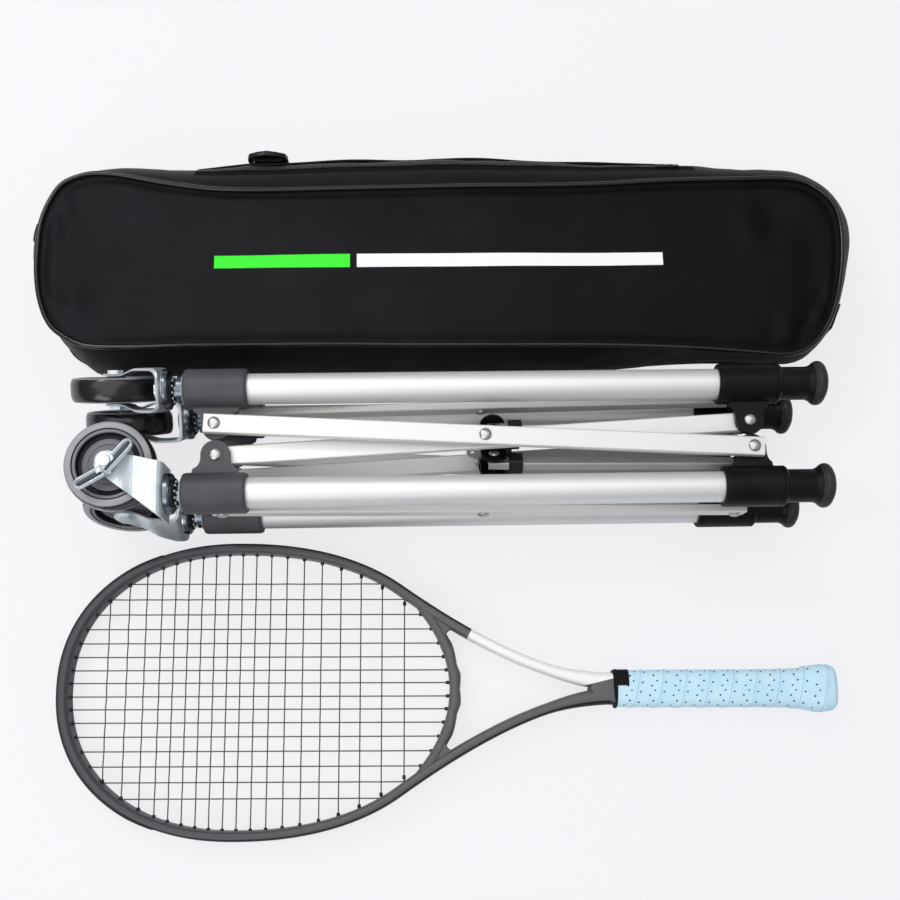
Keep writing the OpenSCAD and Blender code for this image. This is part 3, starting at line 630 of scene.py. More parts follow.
def throat_point(t):
    """The throat beam's middle line, from the head's tangent (t = 0) into the shaft's line (t = 1)."""
    a, d = head_point(LEAVE), Vector((THROAT_END, SHAFT_Y, 0))
    b = a + THROAT_PULL * (head_point(LEAVE - 0.001) - a).normalized()
    c = Vector((THROAT_BEND, SHAFT_Y, 0))
    return a * (1 - t) ** 3 + b * 3 * t * (1 - t) ** 2 + c * 3 * t * t * (1 - t) + d * t ** 3


half_line = [throat_point(1 - k / THROAT_STEPS) for k in range(2, THROAT_STEPS)]
half_line += [head_point(LEAVE + (math.pi - LEAVE) * k / HEAD_STEPS) for k in range(HEAD_STEPS)]
beam_line = half_line + [head_point(math.pi)] + [Vector((p.x, -p.y, 0)) for p in reversed(half_line)]
print("beam length:", round(sum((b - a).length for a, b in zip(beam_line, beam_line[1:]))), "mm")

# %% Skin the beam
def soft_step(x, low, high):
    t = min(1.0, max(0.0, (x - low) / (high - low)))
    return t * t * (3 - 2 * t)


def beam_half(x):
    """Half the beam's width: a little more at the tip and by the bridge, and most at the shaft."""
    return (BEAM_W / 2 + 0.3 * (1 - soft_step(x, 0, 90)) + 0.2 * soft_step(x, 290, 350)
            + 2.1 * soft_step(x, 425, 475))


# The upper half of the beam's section, from its outer side over the top to its inner side:
# (across, up), as shares of the half width and the half height
BEAM_SECTION = [(-1.0, 0.0), (-1.0, 0.3), (-0.97, 0.5), (-0.86, 0.68), (-0.7, 0.84), (-0.5, 0.95), (-0.3, 1.0),
                (0.35, 1.0), (0.62, 0.95), (0.84, 0.82), (0.96, 0.62), (1.0, 0.35)]
SLOPE_FACES = 5


def across_line(line, k):
    ahead, behind = line[min(k + 1, len(line) - 1)], line[max(k - 1, 0)]
    run = (ahead - behind).normalized()
    return Vector((-run.y, run.x, 0))


def beam_ring(line, k, half_wide, half_high):
    side = across_line(line, k)
    section = BEAM_SECTION + [(1.0, 0.0)] + [(wide, -high) for wide, high in reversed(BEAM_SECTION[1:])]
    return [(line[k] + side * wide * half_wide + Vector((0, 0, high * half_high))) * MM for wide, high in section]


def paint_outer_slope(skin, rings):
    """The faces of the outer slope, above and below, take the second, darker finish, which paints shade on them."""
    sides = 2 * len(BEAM_SECTION)
    for face in list(skin.data.polygons)[:rings * sides]:
        step = face.index % sides
        face.material_index = int(step < SLOPE_FACES or step >= sides - SLOPE_FACES)


beams = sweep("racket_beam", beam_line, lambda k: beam_ring(beam_line, k, beam_half(beam_line[k].x), BEAM_H / 2))
give(beams, lacquer, outer_slope_shade_lacquer)
paint_outer_slope(beams, len(beam_line) - 1)
WEDGE = [(468, -1.2), (468, 1.2), (473, 5.5), (480, 9.6), (491, 12.6), (491, -12.6), (480, -9.6), (473, -5.5)]
wedge = bevel(prism("wedge", WEDGE, BEAM_H / 2 - 0.05), 1.2, 3, corner=30)
racket_beam = joined("racket_beam", [smooth(beams, 50), smooth(give(wedge, lacquer))])
ride_as(settle(racket_beam, "racket_beam", on_racket), "racket", "racket_graphite", "racket_frame")
print("beam faces:", len(racket_beam.data.polygons))

# %% [markdown]
# The bridge closes the head towards the hand. Its outer edge waves in and out, and a web rounds off each
# corner between the bridge and a throat beam.

# %% Bridge and webs
BRIDGE = [(0, 349.0, 4.7), (6, 349.2, 5.1), (12, 348.9, 5.5), (16, 347.9, 5.0), (21, 346.5, 4.6), (26, 345.5, 4.8),
          (32, 344.0, 5.1), (38, 341.8, 5.4), (43, 339.4, 4.9), (49, 336.2, 4.6), (58, 331.0, 4.6), (68, 324.0, 4.6),
          (76, 317.5, 4.4)]
WEB = [(312, 79), (322, 70), (330, 59), (335, 50), (340, 44.6), (341.3, 47.2), (342.2, 50.3), (344, 52.4),
       (346.4, 53.2), (340, 59), (330, 67.5), (320, 75.5)]
BRIDGE_HALF_HIGH, WEB_HALF_HIGH, BRIDGE_CUTS = BEAM_H / 2 - 1.5, 8.4, 4
bridge_half = [(Vector((x, y, 0)), half) for y, x, half in BRIDGE]
bridge = [(Vector((p.x, -p.y, 0)), half) for p, half in reversed(bridge_half[1:])] + bridge_half
bridge_line, bridge_wide = [], []
for k in range(len(bridge) - 1):
    near = [bridge[min(max(k + i, 0), len(bridge) - 1)] for i in (-1, 0, 1, 2)]
    from_half, to_half = near[1][1], near[2][1]
    for cut in range(BRIDGE_CUTS):
        t = cut / BRIDGE_CUTS
        bridge_line.append(smooth_curve(*(place for place, _ in near), t))
        bridge_wide.append(from_half + (to_half - from_half) * t * t * (3 - 2 * t))
span = sweep("bridge", bridge_line, lambda k: beam_ring(bridge_line, k, bridge_wide[k], BRIDGE_HALF_HIGH))
yoke_parts = [smooth(span, 50)]
for side in (1, -1):
    web = prism("web", [(x, side * y) for x, y in (WEB if side > 0 else reversed(WEB))], WEB_HALF_HIGH)
    yoke_parts.append(smooth(bevel(web, 0.8, 3, corner=50)))
racket_yoke = give(joined("racket_yoke", yoke_parts), lacquer)
ride_as(settle(racket_yoke, "racket_yoke", on_racket), "racket", "racket_graphite", "racket_bridge")
print("bridge:", len(bridge_line), "places and", len(yoke_parts) - 1, "webs")

# %% [markdown]
# ## Strings
# The strings are woven: each one passes over one neighbour and under the next. Every string is a thin tube
# whose height swings by half a string's thickness at each crossing.

# %% Weave the strings
STRING_R = 0.58
MAIN_Y = [5.9 + 11 * k + 0.233 * k * k for k in range(8)]


def cross_gap(k):
    """The gap after the k-th cross, which widens towards the tip and towards the throat."""
    return 11.9 + (1.7 * (3 - k) if k < 3 else 0.95 * (k - 8.5) if k > 8 else 0)


CROSS_X = [41.4]
for k in range(18):
    CROSS_X.append(CROSS_X[-1] + cross_gap(k))
mains = sorted([-y for y in MAIN_Y] + MAIN_Y)


def head_reach_x(y):
    share = (1 - abs(y / HEAD_HALF) ** FULLNESS) ** (1 / FULLNESS)
    return HEAD_X - HEAD_TIP * share, HEAD_X + HEAD_THROAT * share


def head_reach_y(x):
    share = abs(x - HEAD_X) / (HEAD_TIP if x < HEAD_X else HEAD_THROAT)
    return HEAD_HALF * max(0, 1 - share ** FULLNESS) ** (1 / FULLNESS)


def woven(start, end, crossings, axis, other, parity):
    """Points of one string along X (axis 0) or Y (axis 1), through its crossings."""
    stops = [start] + [c for c in crossings if start + 2 < c < end - 2] + [end]
    line = []
    for i, stop in enumerate(stops):
        height = 0 if i in (0, len(stops) - 1) else STRING_R * (1 if (i + parity) % 2 else -1)
        point = Vector((stop, other, height)) if axis == 0 else Vector((other, stop, height))
        if line:
            before = line[-1]
            line += [before.lerp(point, 1 / 3), before.lerp(point, 2 / 3)]
            line[-2].z = before.z * 0.75 + point.z * 0.25
            line[-1].z = before.z * 0.25 + point.z * 0.75
        line.append(point)
    return line


def tube(line, radius, sides=8):
    """Rings of a thin tube along a line that stays near the racket's plane."""
    def ring(k):
        side = across_line(line, k)
        return [(line[k] + side * radius * math.cos(math.tau * s / sides)
                 + Vector((0, 0, radius * math.sin(math.tau * s / sides)))) * MM for s in range(sides)]
    return ring


strings, string_ends = [], []
for i, y in enumerate(mains):
    low, high = head_reach_x(y)
    line = woven(low, high, CROSS_X, 0, y, i)
    string_ends += [(line[0], Vector((1, 0, 0))), (line[-1], Vector((-1, 0, 0)))]
    strings.append(sweep(f"main_{i}", line, tube(line, STRING_R)))
for i, x in enumerate(CROSS_X):
    reach = head_reach_y(x)
    line = woven(-reach, reach, mains, 1, x, i + 1)
    string_ends += [(line[0], Vector((0, 1, 0))), (line[-1], Vector((0, -1, 0)))]
    strings.append(sweep(f"cross_{i}", line, tube(line, STRING_R)))
string_bed = give(smooth(joined("string_bed", strings), 80), string_gut)
ride_as(settle(string_bed, "string_bed", on_racket), "racket", "string", "racket_strings")
print("strings:", len(mains), "mains and", len(CROSS_X), "crosses")

# %% [markdown]
# ## Bumper and grommets
# A nylon strip guards the tip. Where a string enters the frame a small grommet tube stands proud.

# %% Bumper strip and grommets
BUMPER_FROM, BUMPER_SWEEP, BUMPER_STEPS = 116, 128, 60
BUMPER_SECTION = [(-0.9, -6.4), (-0.9, 6.4), (0.5, 7.0), (1.2, 5.6), (1.4, 2.0), (1.4, -2.0), (1.2, -5.6), (0.5, -7.0)]
tip_line = [head_point(math.radians(BUMPER_FROM + BUMPER_SWEEP * k / BUMPER_STEPS))
            for k in range(BUMPER_STEPS + 1)]


def bumper_ring(k):
    side, half = across_line(tip_line, k), beam_half(tip_line[k].x)
    thick = 0.4 + 0.6 * min(1, k / 4, (BUMPER_STEPS - k) / 4)
    return [(tip_line[k] - side * (half + out * thick) + Vector((0, 0, high))) * MM
            for out, high in BUMPER_SECTION]


bumper = bevel(sweep("bumper_strip", tip_line, bumper_ring), 0.3, corner=30)
give(smooth(bumper), bumper_nylon)
ride_as(settle(bumper, "bumper_strip", on_racket), "racket", "racket_bumper", "racket_bumper")

GROMMET_R, GROMMET_LENGTH, GROMMET_SUNK = 1.6, 3.6, 0.2
grommets = []
for end, inward in string_ends:
    bpy.ops.mesh.primitive_cylinder_add(vertices=12, radius=GROMMET_R * MM, depth=GROMMET_LENGTH * MM)
    nub = bpy.context.object
    square_on = (Vector((HEAD_X, 0, 0)) - end).normalized().dot(inward)
    to_inner_side = beam_half(end.x) / max(square_on, 0.5) - GROMMET_SUNK
    nub.matrix_world = (Matrix.Translation((end + inward * to_inner_side) * MM)
                        @ Vector((0, 0, 1)).rotation_difference(inward).to_matrix().to_4x4())
    grommets.append(settle(nub, "grommet"))
grommet_set = bevel(joined("grommets", grommets), 0.4)
give(smooth(grommet_set), bumper_nylon)
ride_as(settle(grommet_set, "grommets", on_racket), "racket", "racket_bumper")
print("grommets:", len(grommets))

# %% [markdown]
# ## Grip
# The overgrip is a perforated tape wound round the handle. Each turn lies on the edge of the one before, so
# the radius steps up by half a millimetre along a helix. The holes are set out in rows that follow the tape.

# %% Wind the overgrip
GRIP_RINGS = [(490.5, 16.1, 13.5), (492, 16.7, 14.0), (533, 17.1, 14.6), (617, 17.1, 14.6), (637, 17.4, 14.8),
              (652, 18.1, 15.4), (663, 20.2, 17.2), (674, 21.7, 18.2), (681.8, 20.4, 17.4), (684.6, 18.4, 15.6),
              (685.8, 15.6, 13.0)]
HANDLE_SQUARENESS = 3.4
TURN_PITCH, FIRST_TURN_X, LAST_TURN_X = 20.6, 494, 679
LAP_HIGH, LAP_SHARE = 0.5, 0.16
GRIP_SIDES, RING_GAP, RING_COUNT = 96, 0.75, 260


def grip_size(x):
    for (x0, w0, h0), (x1, w1, h1) in zip(GRIP_RINGS, GRIP_RINGS[1:]):
        if x <= x1:
            t = (x - x0) / (x1 - x0)
            return w0 + (w1 - w0) * t, h0 + (h1 - h0) * t
    return GRIP_RINGS[-1][1:]


def handle_point(x, angle, proud):
    """A point on the eight-sided, well rounded handle, that far proud of it."""
    wide, high = grip_size(x)
    c, s = math.cos(angle), math.sin(angle)
    stretch = (abs(c) ** HANDLE_SQUARENESS + abs(s) ** HANDLE_SQUARENESS) ** (-1 / HANDLE_SQUARENESS)
    return Vector((x, (wide + proud) * c * stretch, (high + proud) * s * stretch)) * MM


def grip_ring(x):
    ring = []
    for k in range(GRIP_SIDES):
        angle = math.tau * k / GRIP_SIDES
        turn = ((x - FIRST_TURN_X) / TURN_PITCH + angle / math.tau) % 1.0
        lap = LAP_HIGH * max(0.0, 1 - turn / LAP_SHARE) ** 1.5 if x < LAST_TURN_X else 0.0
        ring.append(handle_point(x, angle, lap - LAP_HIGH))
    return ring


grip_line = [GRIP_RINGS[0][0] + RING_GAP * k for k in range(RING_COUNT)] + [685.3, GRIP_RINGS[-1][0]]
grip = sweep("overgrip", grip_line, lambda k: grip_ring(grip_line[k]))
tape = grip.data.uv_layers.new(name="tape")
for loop in grip.data.loops:
    p = grip.data.vertices[loop.vertex_index].co
    tape.data[loop.index].uv = (math.atan2(p.z, p.y) / math.tau, p.x)

overgrip = Finish("light blue overgrip", tint(190, 229, 250), 0.62, 0.0, Sheen_Weight=0.15, Specular_IOR_Level=0.3)
around, down, _ = overgrip.split(overgrip.node("ShaderNodeUVMap", {"uv_map": "tape"}, {}))
wound = (down - FIRST_TURN_X * MM) * (1 / (TURN_PITCH * MM)) + around
HOLE_COLUMNS = [(0.155, 0.35), (0.574, 0.0), (0.757, 0.5)]
HOLES_A_TURN, HOLE_GAP, HOLES_END_X = 11, 10.6, 669
holes = 0.0
for column, phase in HOLE_COLUMNS:
    off_column = (wound.fraction() - column) * TURN_PITCH
    off_hole = ((around * HOLES_A_TURN + phase).fraction() - 0.5) * HOLE_GAP
    holes = holes + (off_column * off_column + off_hole * off_hole).ramp(0.45, 1.0, 1.0, 0.0)
holes = holes.least(1.0) * (down < HOLES_END_X * MM)
seam = abs(wound.fraction() - 0.5).ramp(0.478, 0.5)
speckle = overgrip.grain(overgrip.place(), 1500.0, 3.0)
wear = overgrip.grain(overgrip.place(), 60.0, 3.0, 0.6)
soft_tone = overgrip.blend(speckle * 0.4 + wear.ramp(0.3, 0.7) * 0.6, tint(190, 229, 250), tint(208, 240, 253))
# The seam lines are painted darker: painted shade where one turn laps on the next.
seam_shaded_tone = overgrip.blend(seam * 0.75, soft_tone, tint(112, 156, 184))
# The holes are painted dark blue: painted shade in the perforations.
overgrip.feed("Base Color", overgrip.blend(holes, seam_shaded_tone, tint(30, 42, 64)))
overgrip.bump(speckle * 0.25 - holes, 0.5, 0.0005)
give(smooth(grip, 70), overgrip)
ride_as(settle(grip, "overgrip", on_racket), "racket", "overgrip", "racket_grip")
print("overgrip:", round((LAST_TURN_X - FIRST_TURN_X) / TURN_PITCH, 1), "turns")

# %% [markdown]
# A rubber collar covers the start of the tape. It is cut at a slant, so it is wider on the far side, and a
# short black finishing tape runs from it over the first turn.

# %% Collar and finishing tape
COLLAR = [(0.0, -1.6), (0.25, -0.2), (0.5, 0.5), (0.8, 0.6), (1.0, 0.1), (1.02, -0.4)]
COLLAR_SIDES, COLLAR_SIZE_X = 64, 492


def collar_ring(k):
    share, proud = COLLAR[k]
    ring = []
    for step in range(COLLAR_SIDES):
        angle = math.tau * step / COLLAR_SIDES
        slant = (1 - math.cos(angle)) / 2
        start, end = 488.0 + 2.0 * slant, 492.8 - 1.5 * slant
        point = handle_point(COLLAR_SIZE_X, angle, proud)
        ring.append(Vector(((start + (end - start) * share) * MM, point.y, point.z)))
    return ring


collar = sweep("grip_collar", COLLAR, collar_ring)
TAPE_X = [490 + 11.8 * k / 8 for k in range(9)]
TAPE_ANGLE = [math.radians(-38 + 120 * k / 24) for k in range(25)]
tape_points = [handle_point(x, angle, 0.25) for x in TAPE_X for angle in TAPE_ANGLE]
wide = len(TAPE_ANGLE)
tape_faces = [(r * wide + k, r * wide + k + 1, (r + 1) * wide + k + 1, (r + 1) * wide + k)
              for r in range(len(TAPE_X) - 1) for k in range(wide - 1)]
finishing_tape = from_points("finishing_tape", tape_points, faces=tape_faces)
apply_modifier(finishing_tape, "SOLIDIFY", thickness=0.5 * MM, offset=-1.0)
bevel(finishing_tape, 0.12, corner=50)
collar = give(joined("grip_collar", [smooth(collar, 50), smooth(finishing_tape)]), collar_rubber)
ride_as(settle(collar, "grip_collar", on_racket), "racket", "collar_rubber", "racket_collar")
print("finishing tape:", round(TAPE_X[-1] - TAPE_X[0], 1), "mm wide")

# %% [markdown]
# ## Bag
# The bag is a flat sewn shell: a front panel, a wall that bulges in the middle of its length, and a back
# panel on the floor. It is skinned over rings: from the middle of the panel out to the piping, down the
# wall and in under the back. The rings are shaped by given outlines and then wrinkled.

# %% Outlines of the bag
PANEL = [(-301, 270.5), (-286, 268.5), (-269, 265), (-251, 261.5), (-225, 257.5), (-200, 255), (-157, 254), (-103, 255),
         (-41, 256), (20, 257), (79, 257), (138, 258), (201, 261), (258, 262), (308, 262), (332, 254), (347, 238),
         (352, 216), (351, 189), (346, 160), (341, 143), (335, 129), (325, 114), (314, 104), (302, 99.5), (290, 98.5),
         (276, 100), (250, 102.5), (205, 106),
         (132, 109), (44, 110), (-43, 111), (-103, 112), (-184, 112), (-230, 112), (-263, 111), (-296, 111),
         (-316, 113), (-331, 120), (-345, 132), (-354, 153), (-358, 178), (-358, 203), (-356, 226), (-349, 246),
         (-338, 262), (-318, 270)]
FAR_BULGE = [(-345, 10), (-315, 19), (-290, 26), (-264, 31), (-234, 35.5), (-184, 42), (-107, 44.5), (-11, 45.5),
             (87, 42.5), (161, 37), (237, 31), (296, 27), (345, 26)]
NEAR_BULGE = [(-345, 2), (-315, 11), (-108, 12), (110, 11), (157, 5), (187, 0), (214, -4), (241, -7), (268, -9),
              (295, -10), (345, -6)]
NEAR_FOOT = [(-345, -4), (110, -4), (157, -7), (187, -11), (214, -14), (241, -17), (268, -19), (295, -21), (345, -21)]
BAG_TOP = 80.0
RING_POINTS = 360


def round_line(points, count):
    """A closed smooth line through the points, as count points evenly far apart."""
    fine = []
    n = len(points)
    for k in range(n):
        a, b, c, d = (Vector(points[(k + i) % n]) for i in (-1, 0, 1, 2))
        fine += [smooth_curve(a, b, c, d, step / 16) for step in range(16)]
    lengths = [0.0]
    for k in range(len(fine)):
        lengths.append(lengths[-1] + (fine[(k + 1) % len(fine)] - fine[k]).length)
    even, k = [], 0
    for i in range(count):
        goal = lengths[-1] * i / count
        while lengths[k + 1] < goal:
            k += 1
        t = (goal - lengths[k]) / (lengths[k + 1] - lengths[k])
        even.append(fine[k].lerp(fine[(k + 1) % len(fine)], t))
    return even


panel_line = round_line(PANEL, RING_POINTS)
outward = []
for k in range(RING_POINTS):
    run = panel_line[(k + 2) % RING_POINTS] - panel_line[k - 2]
    outward.append(Vector((-run.y, run.x)).normalized())
print("piping length:", round(sum((panel_line[k] - panel_line[k - 1]).length for k in range(RING_POINTS))), "mm")


def between(table, x):
    """Reads a table of (x, value) between its rows."""
    for (x0, v0), (x1, v1) in zip(table, table[1:]):
        if x <= x1:
            return v0 + (v1 - v0) * max(0.0, (x - x0) / (x1 - x0))
    return table[-1][1]


def bulge(k):
    """How far the wall stands out beyond the panel at its middle, in millimetres."""
    p, out = panel_line[k], outward[k]
    end_side = 14 + 8 * soft_step(p.y, 170, 235) if p.x > 0 else 2 + 14 * soft_step(p.y, 135, 215)
    side = abs(out.y) ** 2
    return between(FAR_BULGE if out.y > 0 else NEAR_BULGE, p.x) * side + end_side * (1 - side)


def base_out(k):
    p, out = panel_line[k], outward[k]
    side = abs(out.y) ** 2
    foot = between(FAR_BULGE, p.x) - 12 if out.y > 0 else between(NEAR_FOOT, p.x)
    end_foot = 4 - 14 * soft_step(p.x, 0, 300) * (1 - soft_step(p.y, 130, 200))
    return foot * side + end_foot * (1 - side)


# %% Skin the bag
WALL_STEPS, PANEL_STEPS, BACK_STEPS = 22, 34, 6
CENTRE_Y, INNERMOST = 184.0, 0.95
CREASE_WIDER, CREASE_HIGHER, CREASE_FADE = 1.6, 2.2, 0.8


def towards_middle(edge, share):
    """A point between a panel's edge (share 0) and its middle line (share 1)."""
    return edge.lerp(Vector((max(-270, min(275, edge.x * 0.8)), CENTRE_Y)), share)


def wall_point(k, share):
    """A point of the wall from the front piping (share 0) to the back piping (share 1)."""
    p, out = panel_line[k], outward[k]
    from_out = 0.0 if share < 0.5 else base_out(k)
    arch = max(0.0, math.sin(math.pi * share)) ** 0.75
    ripple = (noise.noise(Vector((p.x * 0.02, p.y * 0.02, share * 2.0))) * 2.2
              + noise.noise(Vector((p.x * 0.06, p.y * 0.06, share * 5.0))) * 0.9) * math.sin(math.pi * share)
    spot = p + out * (from_out + (bulge(k) - from_out) * arch + ripple)
    return Vector((spot.x, spot.y, BAG_TOP * (1 - share) + 2.0 * share))


# Soft ridges and hollows of the front panel: from point to point, half width and height
CREASES = [((-327, 262), (-321, 240), 5, 1.6), ((-308, 262), (-299, 230), 6, 1.8), ((-293, 261), (-280, 238), 5, 1.3),
           ((-279, 258), (-266, 240), 5, 1.2), ((-318, 262), (-312, 238), 4, -1.5), ((-300, 262), (-291, 240), 4, -1.2),
           ((-338, 240), (-330, 215), 6, -2.2), ((-346, 225), (-342, 170), 4, 1.2), ((-332, 145), (-306, 119), 11, -3.4),
           ((-342, 160), (-322, 130), 4, 1.3), ((-316, 135), (-285, 122), 8, 1.2), ((338, 150), (329, 132), 4, 2.0),
           ((329, 132), (314, 108), 4, 2.0), ((331, 152), (320, 128), 5, -2.4), ((320, 128), (308, 110), 4, -1.8),
           ((298, 128), (299, 103), 6, 1.6), ((309, 118), (307, 104), 4, -1.8), ((284, 118), (288, 102), 5, -1.0),
           ((268, 222), (279, 188), 9, 1.6), ((288, 230), (296, 180), 9, -1.8), ((322, 240), (330, 190), 9, 1.2),
           ((250, 240), (262, 170), 10, -1.2), ((-250, 235), (-236, 180), 12, 1.0), ((-226, 240), (-218, 200), 9, -0.8)]


def creases(x, y):
    """Each crease fades along its length and dies out at its sides."""
    height = 0.0
    for (ax, ay), (bx, by), wide, high in CREASES:
        t = max(0.0, min(1.0, ((x - ax) * (bx - ax) + (y - ay) * (by - ay)) / ((bx - ax) ** 2 + (by - ay) ** 2)))
        away = math.hypot(x - ax - (bx - ax) * t, y - ay - (by - ay) * t) / (CREASE_WIDER * wide)
        if away < 3:
            height += CREASE_HIGHER * high * (1 - CREASE_FADE * t) * math.exp(-away * away)
    return height


def panel_height(x, y, share):
    """The panel's height: a soft crown, a dip behind the piping and wrinkles near the ends."""
    crown = 5.5 * (1 - (1 - min(1, share * 1.3)) ** 2) - 2.4 * math.exp(-((share - 0.05) / 0.05) ** 2)
    near_end = max(0, abs(x) / 360 - 0.55) / 0.45
    dent = -5.0 * near_end ** 1.5 * math.sin(math.pi * min(1, share * 1.4)) ** 2
    folds = (noise.noise(Vector((x * 0.011, y * 0.017, 4.0))) * 2.8
             + noise.noise(Vector((x * 0.045, y * 0.02, 9.0))) * 1.5 * near_end
             + noise.noise(Vector((x * 0.09, y * 0.03, 2.0))) * 0.6 * near_end)
    return BAG_TOP + crown + dent + (folds + creases(x, y)) * min(1, share * 6)


rings = []
for step in range(PANEL_STEPS, 0, -1):
    share = (step / PANEL_STEPS) ** 1.35 * INNERMOST
    spots = [towards_middle(edge, share) for edge in panel_line]
    rings.append([Vector((p.x, p.y, panel_height(p.x, p.y, share))) * MM for p in spots])
for step in range(WALL_STEPS + 1):
    rings.append([wall_point(k, step / WALL_STEPS) * MM for k in range(RING_POINTS)])
foot_line = [panel_line[k] + outward[k] * base_out(k) for k in range(RING_POINTS)]
for step in range(1, BACK_STEPS + 1):
    share = step / BACK_STEPS * INNERMOST
    height = 0.6 + 1.4 * (1 - share) ** 3
    rings.append([Vector((*towards_middle(foot, share), height)) * MM for foot in foot_line])
bag = sweep("bag_body", rings, lambda k: rings[k])
# The two end caps are single faces with a corner for every ring point. Cut well, they shade evenly.
only(bag)
bpy.ops.object.mode_set(mode="EDIT")
bpy.ops.mesh.select_all(action="DESELECT")
bpy.ops.mesh.select_face_by_sides(number=4, type="GREATER")
bpy.ops.mesh.quads_convert_to_tris(ngon_method="BEAUTY")
bpy.ops.object.mode_set(mode="OBJECT")
print("bag faces:", len(bag.data.polygons))

# %% [markdown]
# ### Cloth of the bag
# Coated polyester: a plain weave with threads about a millimetre across and a faint diagonal, under a coat
# that is slightly uneven. It is paler towards the left. The raised thread crossings are painted lighter, a
# painted highlight on the weave. A plain two-colour stripe is printed on the front.

# %% Bag cloth
THREAD_WAVE, TWILL_WAVE = 0.0018, 0.0042
STRIPE_Y, PANEL_ONLY_Z = (0.1795, 0.1915), 0.075
cloth = Finish("black polyester", tint(8, 8, 9), 0.45, 0.0, Specular_IOR_Level=0.1)
cloth_place = cloth.place()
cx, cy, cz = cloth.split(cloth_place)
WEAVE = math.tau / THREAD_WAVE
warp = (cx * WEAVE).sine()
weft = (cy * WEAVE + cz * WEAVE).sine()
thread = warp * weft
twill = ((cx + cy + cz) * (math.tau / TWILL_WAVE)).sine()
cloud = cloth.grain(cloth_place, 14.0, 4.0, 0.6)
left_share = cx.ramp(-0.36, 0.3, 1.0, 0.0)
black_tone = cloth.blend(cloud.ramp(0.3, 0.75), tint(2, 2, 3), tint(8, 8, 9))
pale_tone = cloth.blend(cloud.ramp(0.3, 0.75), tint(19, 18, 22), tint(30, 29, 34))
# The tone runs paler towards the left.
left_paler_tone = cloth.blend(left_share, black_tone, pale_tone)
# The raised thread crossings are painted lighter: painted highlight.
thread_highlight_tone = cloth.blend(thread.ramp(-0.6, 1) * 0.42, left_paler_tone, tint(33, 32, 36))


def printed(low_x, high_x):
    """1 on a printed bar of the front panel, 0 elsewhere."""
    return (cx > low_x) * (cx < high_x) * (cy > STRIPE_Y[0]) * (cy < STRIPE_Y[1]) * (cz > PANEL_ONLY_Z)


green_print, white_print = printed(-0.204, -0.0855), printed(-0.0795, 0.190)
striped = cloth.blend(green_print, thread_highlight_tone, tint(72, 246, 62))
striped = cloth.blend(white_print, striped, tint(252, 252, 253))
cloth.feed("Base Color", striped)
cloth.feed("Roughness", 0.4 + cloud * 0.12)
cloth.bump(thread * 0.7 + twill * 0.3 + cloud * 2.0, 0.5, 0.0003)
give(smooth(bag, 70), cloth)
ride_as(bag, "bag", "bag_fabric", "bag_shell")
print("stripe:", round((0.190 + 0.204) / MM), "mm long")

# %% [markdown]
# ### Piping
# The seams between panel and wall are covered by a round cord in vinyl.

# %% Piping round both panels
PIPING_R, PIPING_SIDES = 2.3, 10
piping_vinyl = moulded("piping vinyl", tint(11, 11, 12), tint(17, 17, 19), 0.13, 0.00003, gloss=0.4)


def piping_round(name, centre_points):
    """A round cord along a closed line."""
    def ring(k):
        here = centre_points[k]
        run = (centre_points[(k + 1) % len(centre_points)] - centre_points[k - 1]).normalized()
        side = run.cross(Vector((0, 0, 1))).normalized()
        up = side.cross(run)
        angles = [math.tau * s / PIPING_SIDES for s in range(PIPING_SIDES)]
        return [(here + (side * math.cos(a) + up * math.sin(a)) * PIPING_R) * MM for a in angles]
    piece = give(smooth(sweep(name, centre_points, ring, closed=True), 80), piping_vinyl)
    ride_as(piece, "bag", "bag_fabric")


front_line = [Vector((panel_line[k].x, panel_line[k].y, BAG_TOP + 0.6)) + Vector((*outward[k], 0)) * 0.8
              for k in range(RING_POINTS)]
piping_round("front_piping", front_line)
back_line = [Vector((*(panel_line[k] + outward[k] * (base_out(k) + 0.6)), 2.6)) for k in range(RING_POINTS)]
piping_round("back_piping", back_line)
print("piping:", 2 * PIPING_R, "mm thick")

# %% [markdown]
# ### Zip
# The zip runs along the far wall, just under the front piping. Its tape follows the wall, a coil of teeth
# stands in its middle, and a small slider with a pull closes it at the right end.

# %% Zip tape, coil and slider
ZIP_FROM, ZIP_TO, COIL_SHARE = -232, 232, 0.195
far_run = [k for k in range(RING_POINTS) if outward[k].y > 0.8 and ZIP_FROM < panel_line[k].x < ZIP_TO]
far_run.sort(key=lambda k: panel_line[k].x)


def on_wall(k, share, proud):
    """A point that far proud of the wall."""
    here, below = wall_point(k, share), wall_point(k, share + 0.02)
    out = Vector((*outward[k], 0))
    down = (below - here).normalized()
    normal = (out - down * out.dot(down)).normalized()
    return (here + normal * proud) * MM


TAPE_SHARES = [(0.135, 0.0), (0.14, 0.35), (0.175, 0.35), (0.18, 0.8), (COIL_SHARE, 1.0), (0.21, 0.8),
               (0.215, 0.35), (0.25, 0.35), (0.255, 0.0)]
zip_tape = sweep("bag_zip", far_run,
                 lambda k: [on_wall(far_run[k], share, proud) for share, proud in TAPE_SHARES])
zip_finish = moulded("zip tape", tint(7, 7, 8), tint(13, 13, 14), 0.5, gloss=0.1)
zip_x, _, _ = zip_finish.split(zip_finish.place())
zip_finish.bump((zip_x * (math.tau / 0.0022)).sine(), 0.8, 0.0004)
ride_as(give(smooth(zip_tape, 60), zip_finish), "bag", "bag_fabric")

slider_at = far_run[-5]
wall_normal = on_wall(slider_at, COIL_SHARE, 1) - on_wall(slider_at, COIL_SHARE, 0)
square_on_wall = Vector((0, 0, 1)).rotation_difference(wall_normal).to_euler()
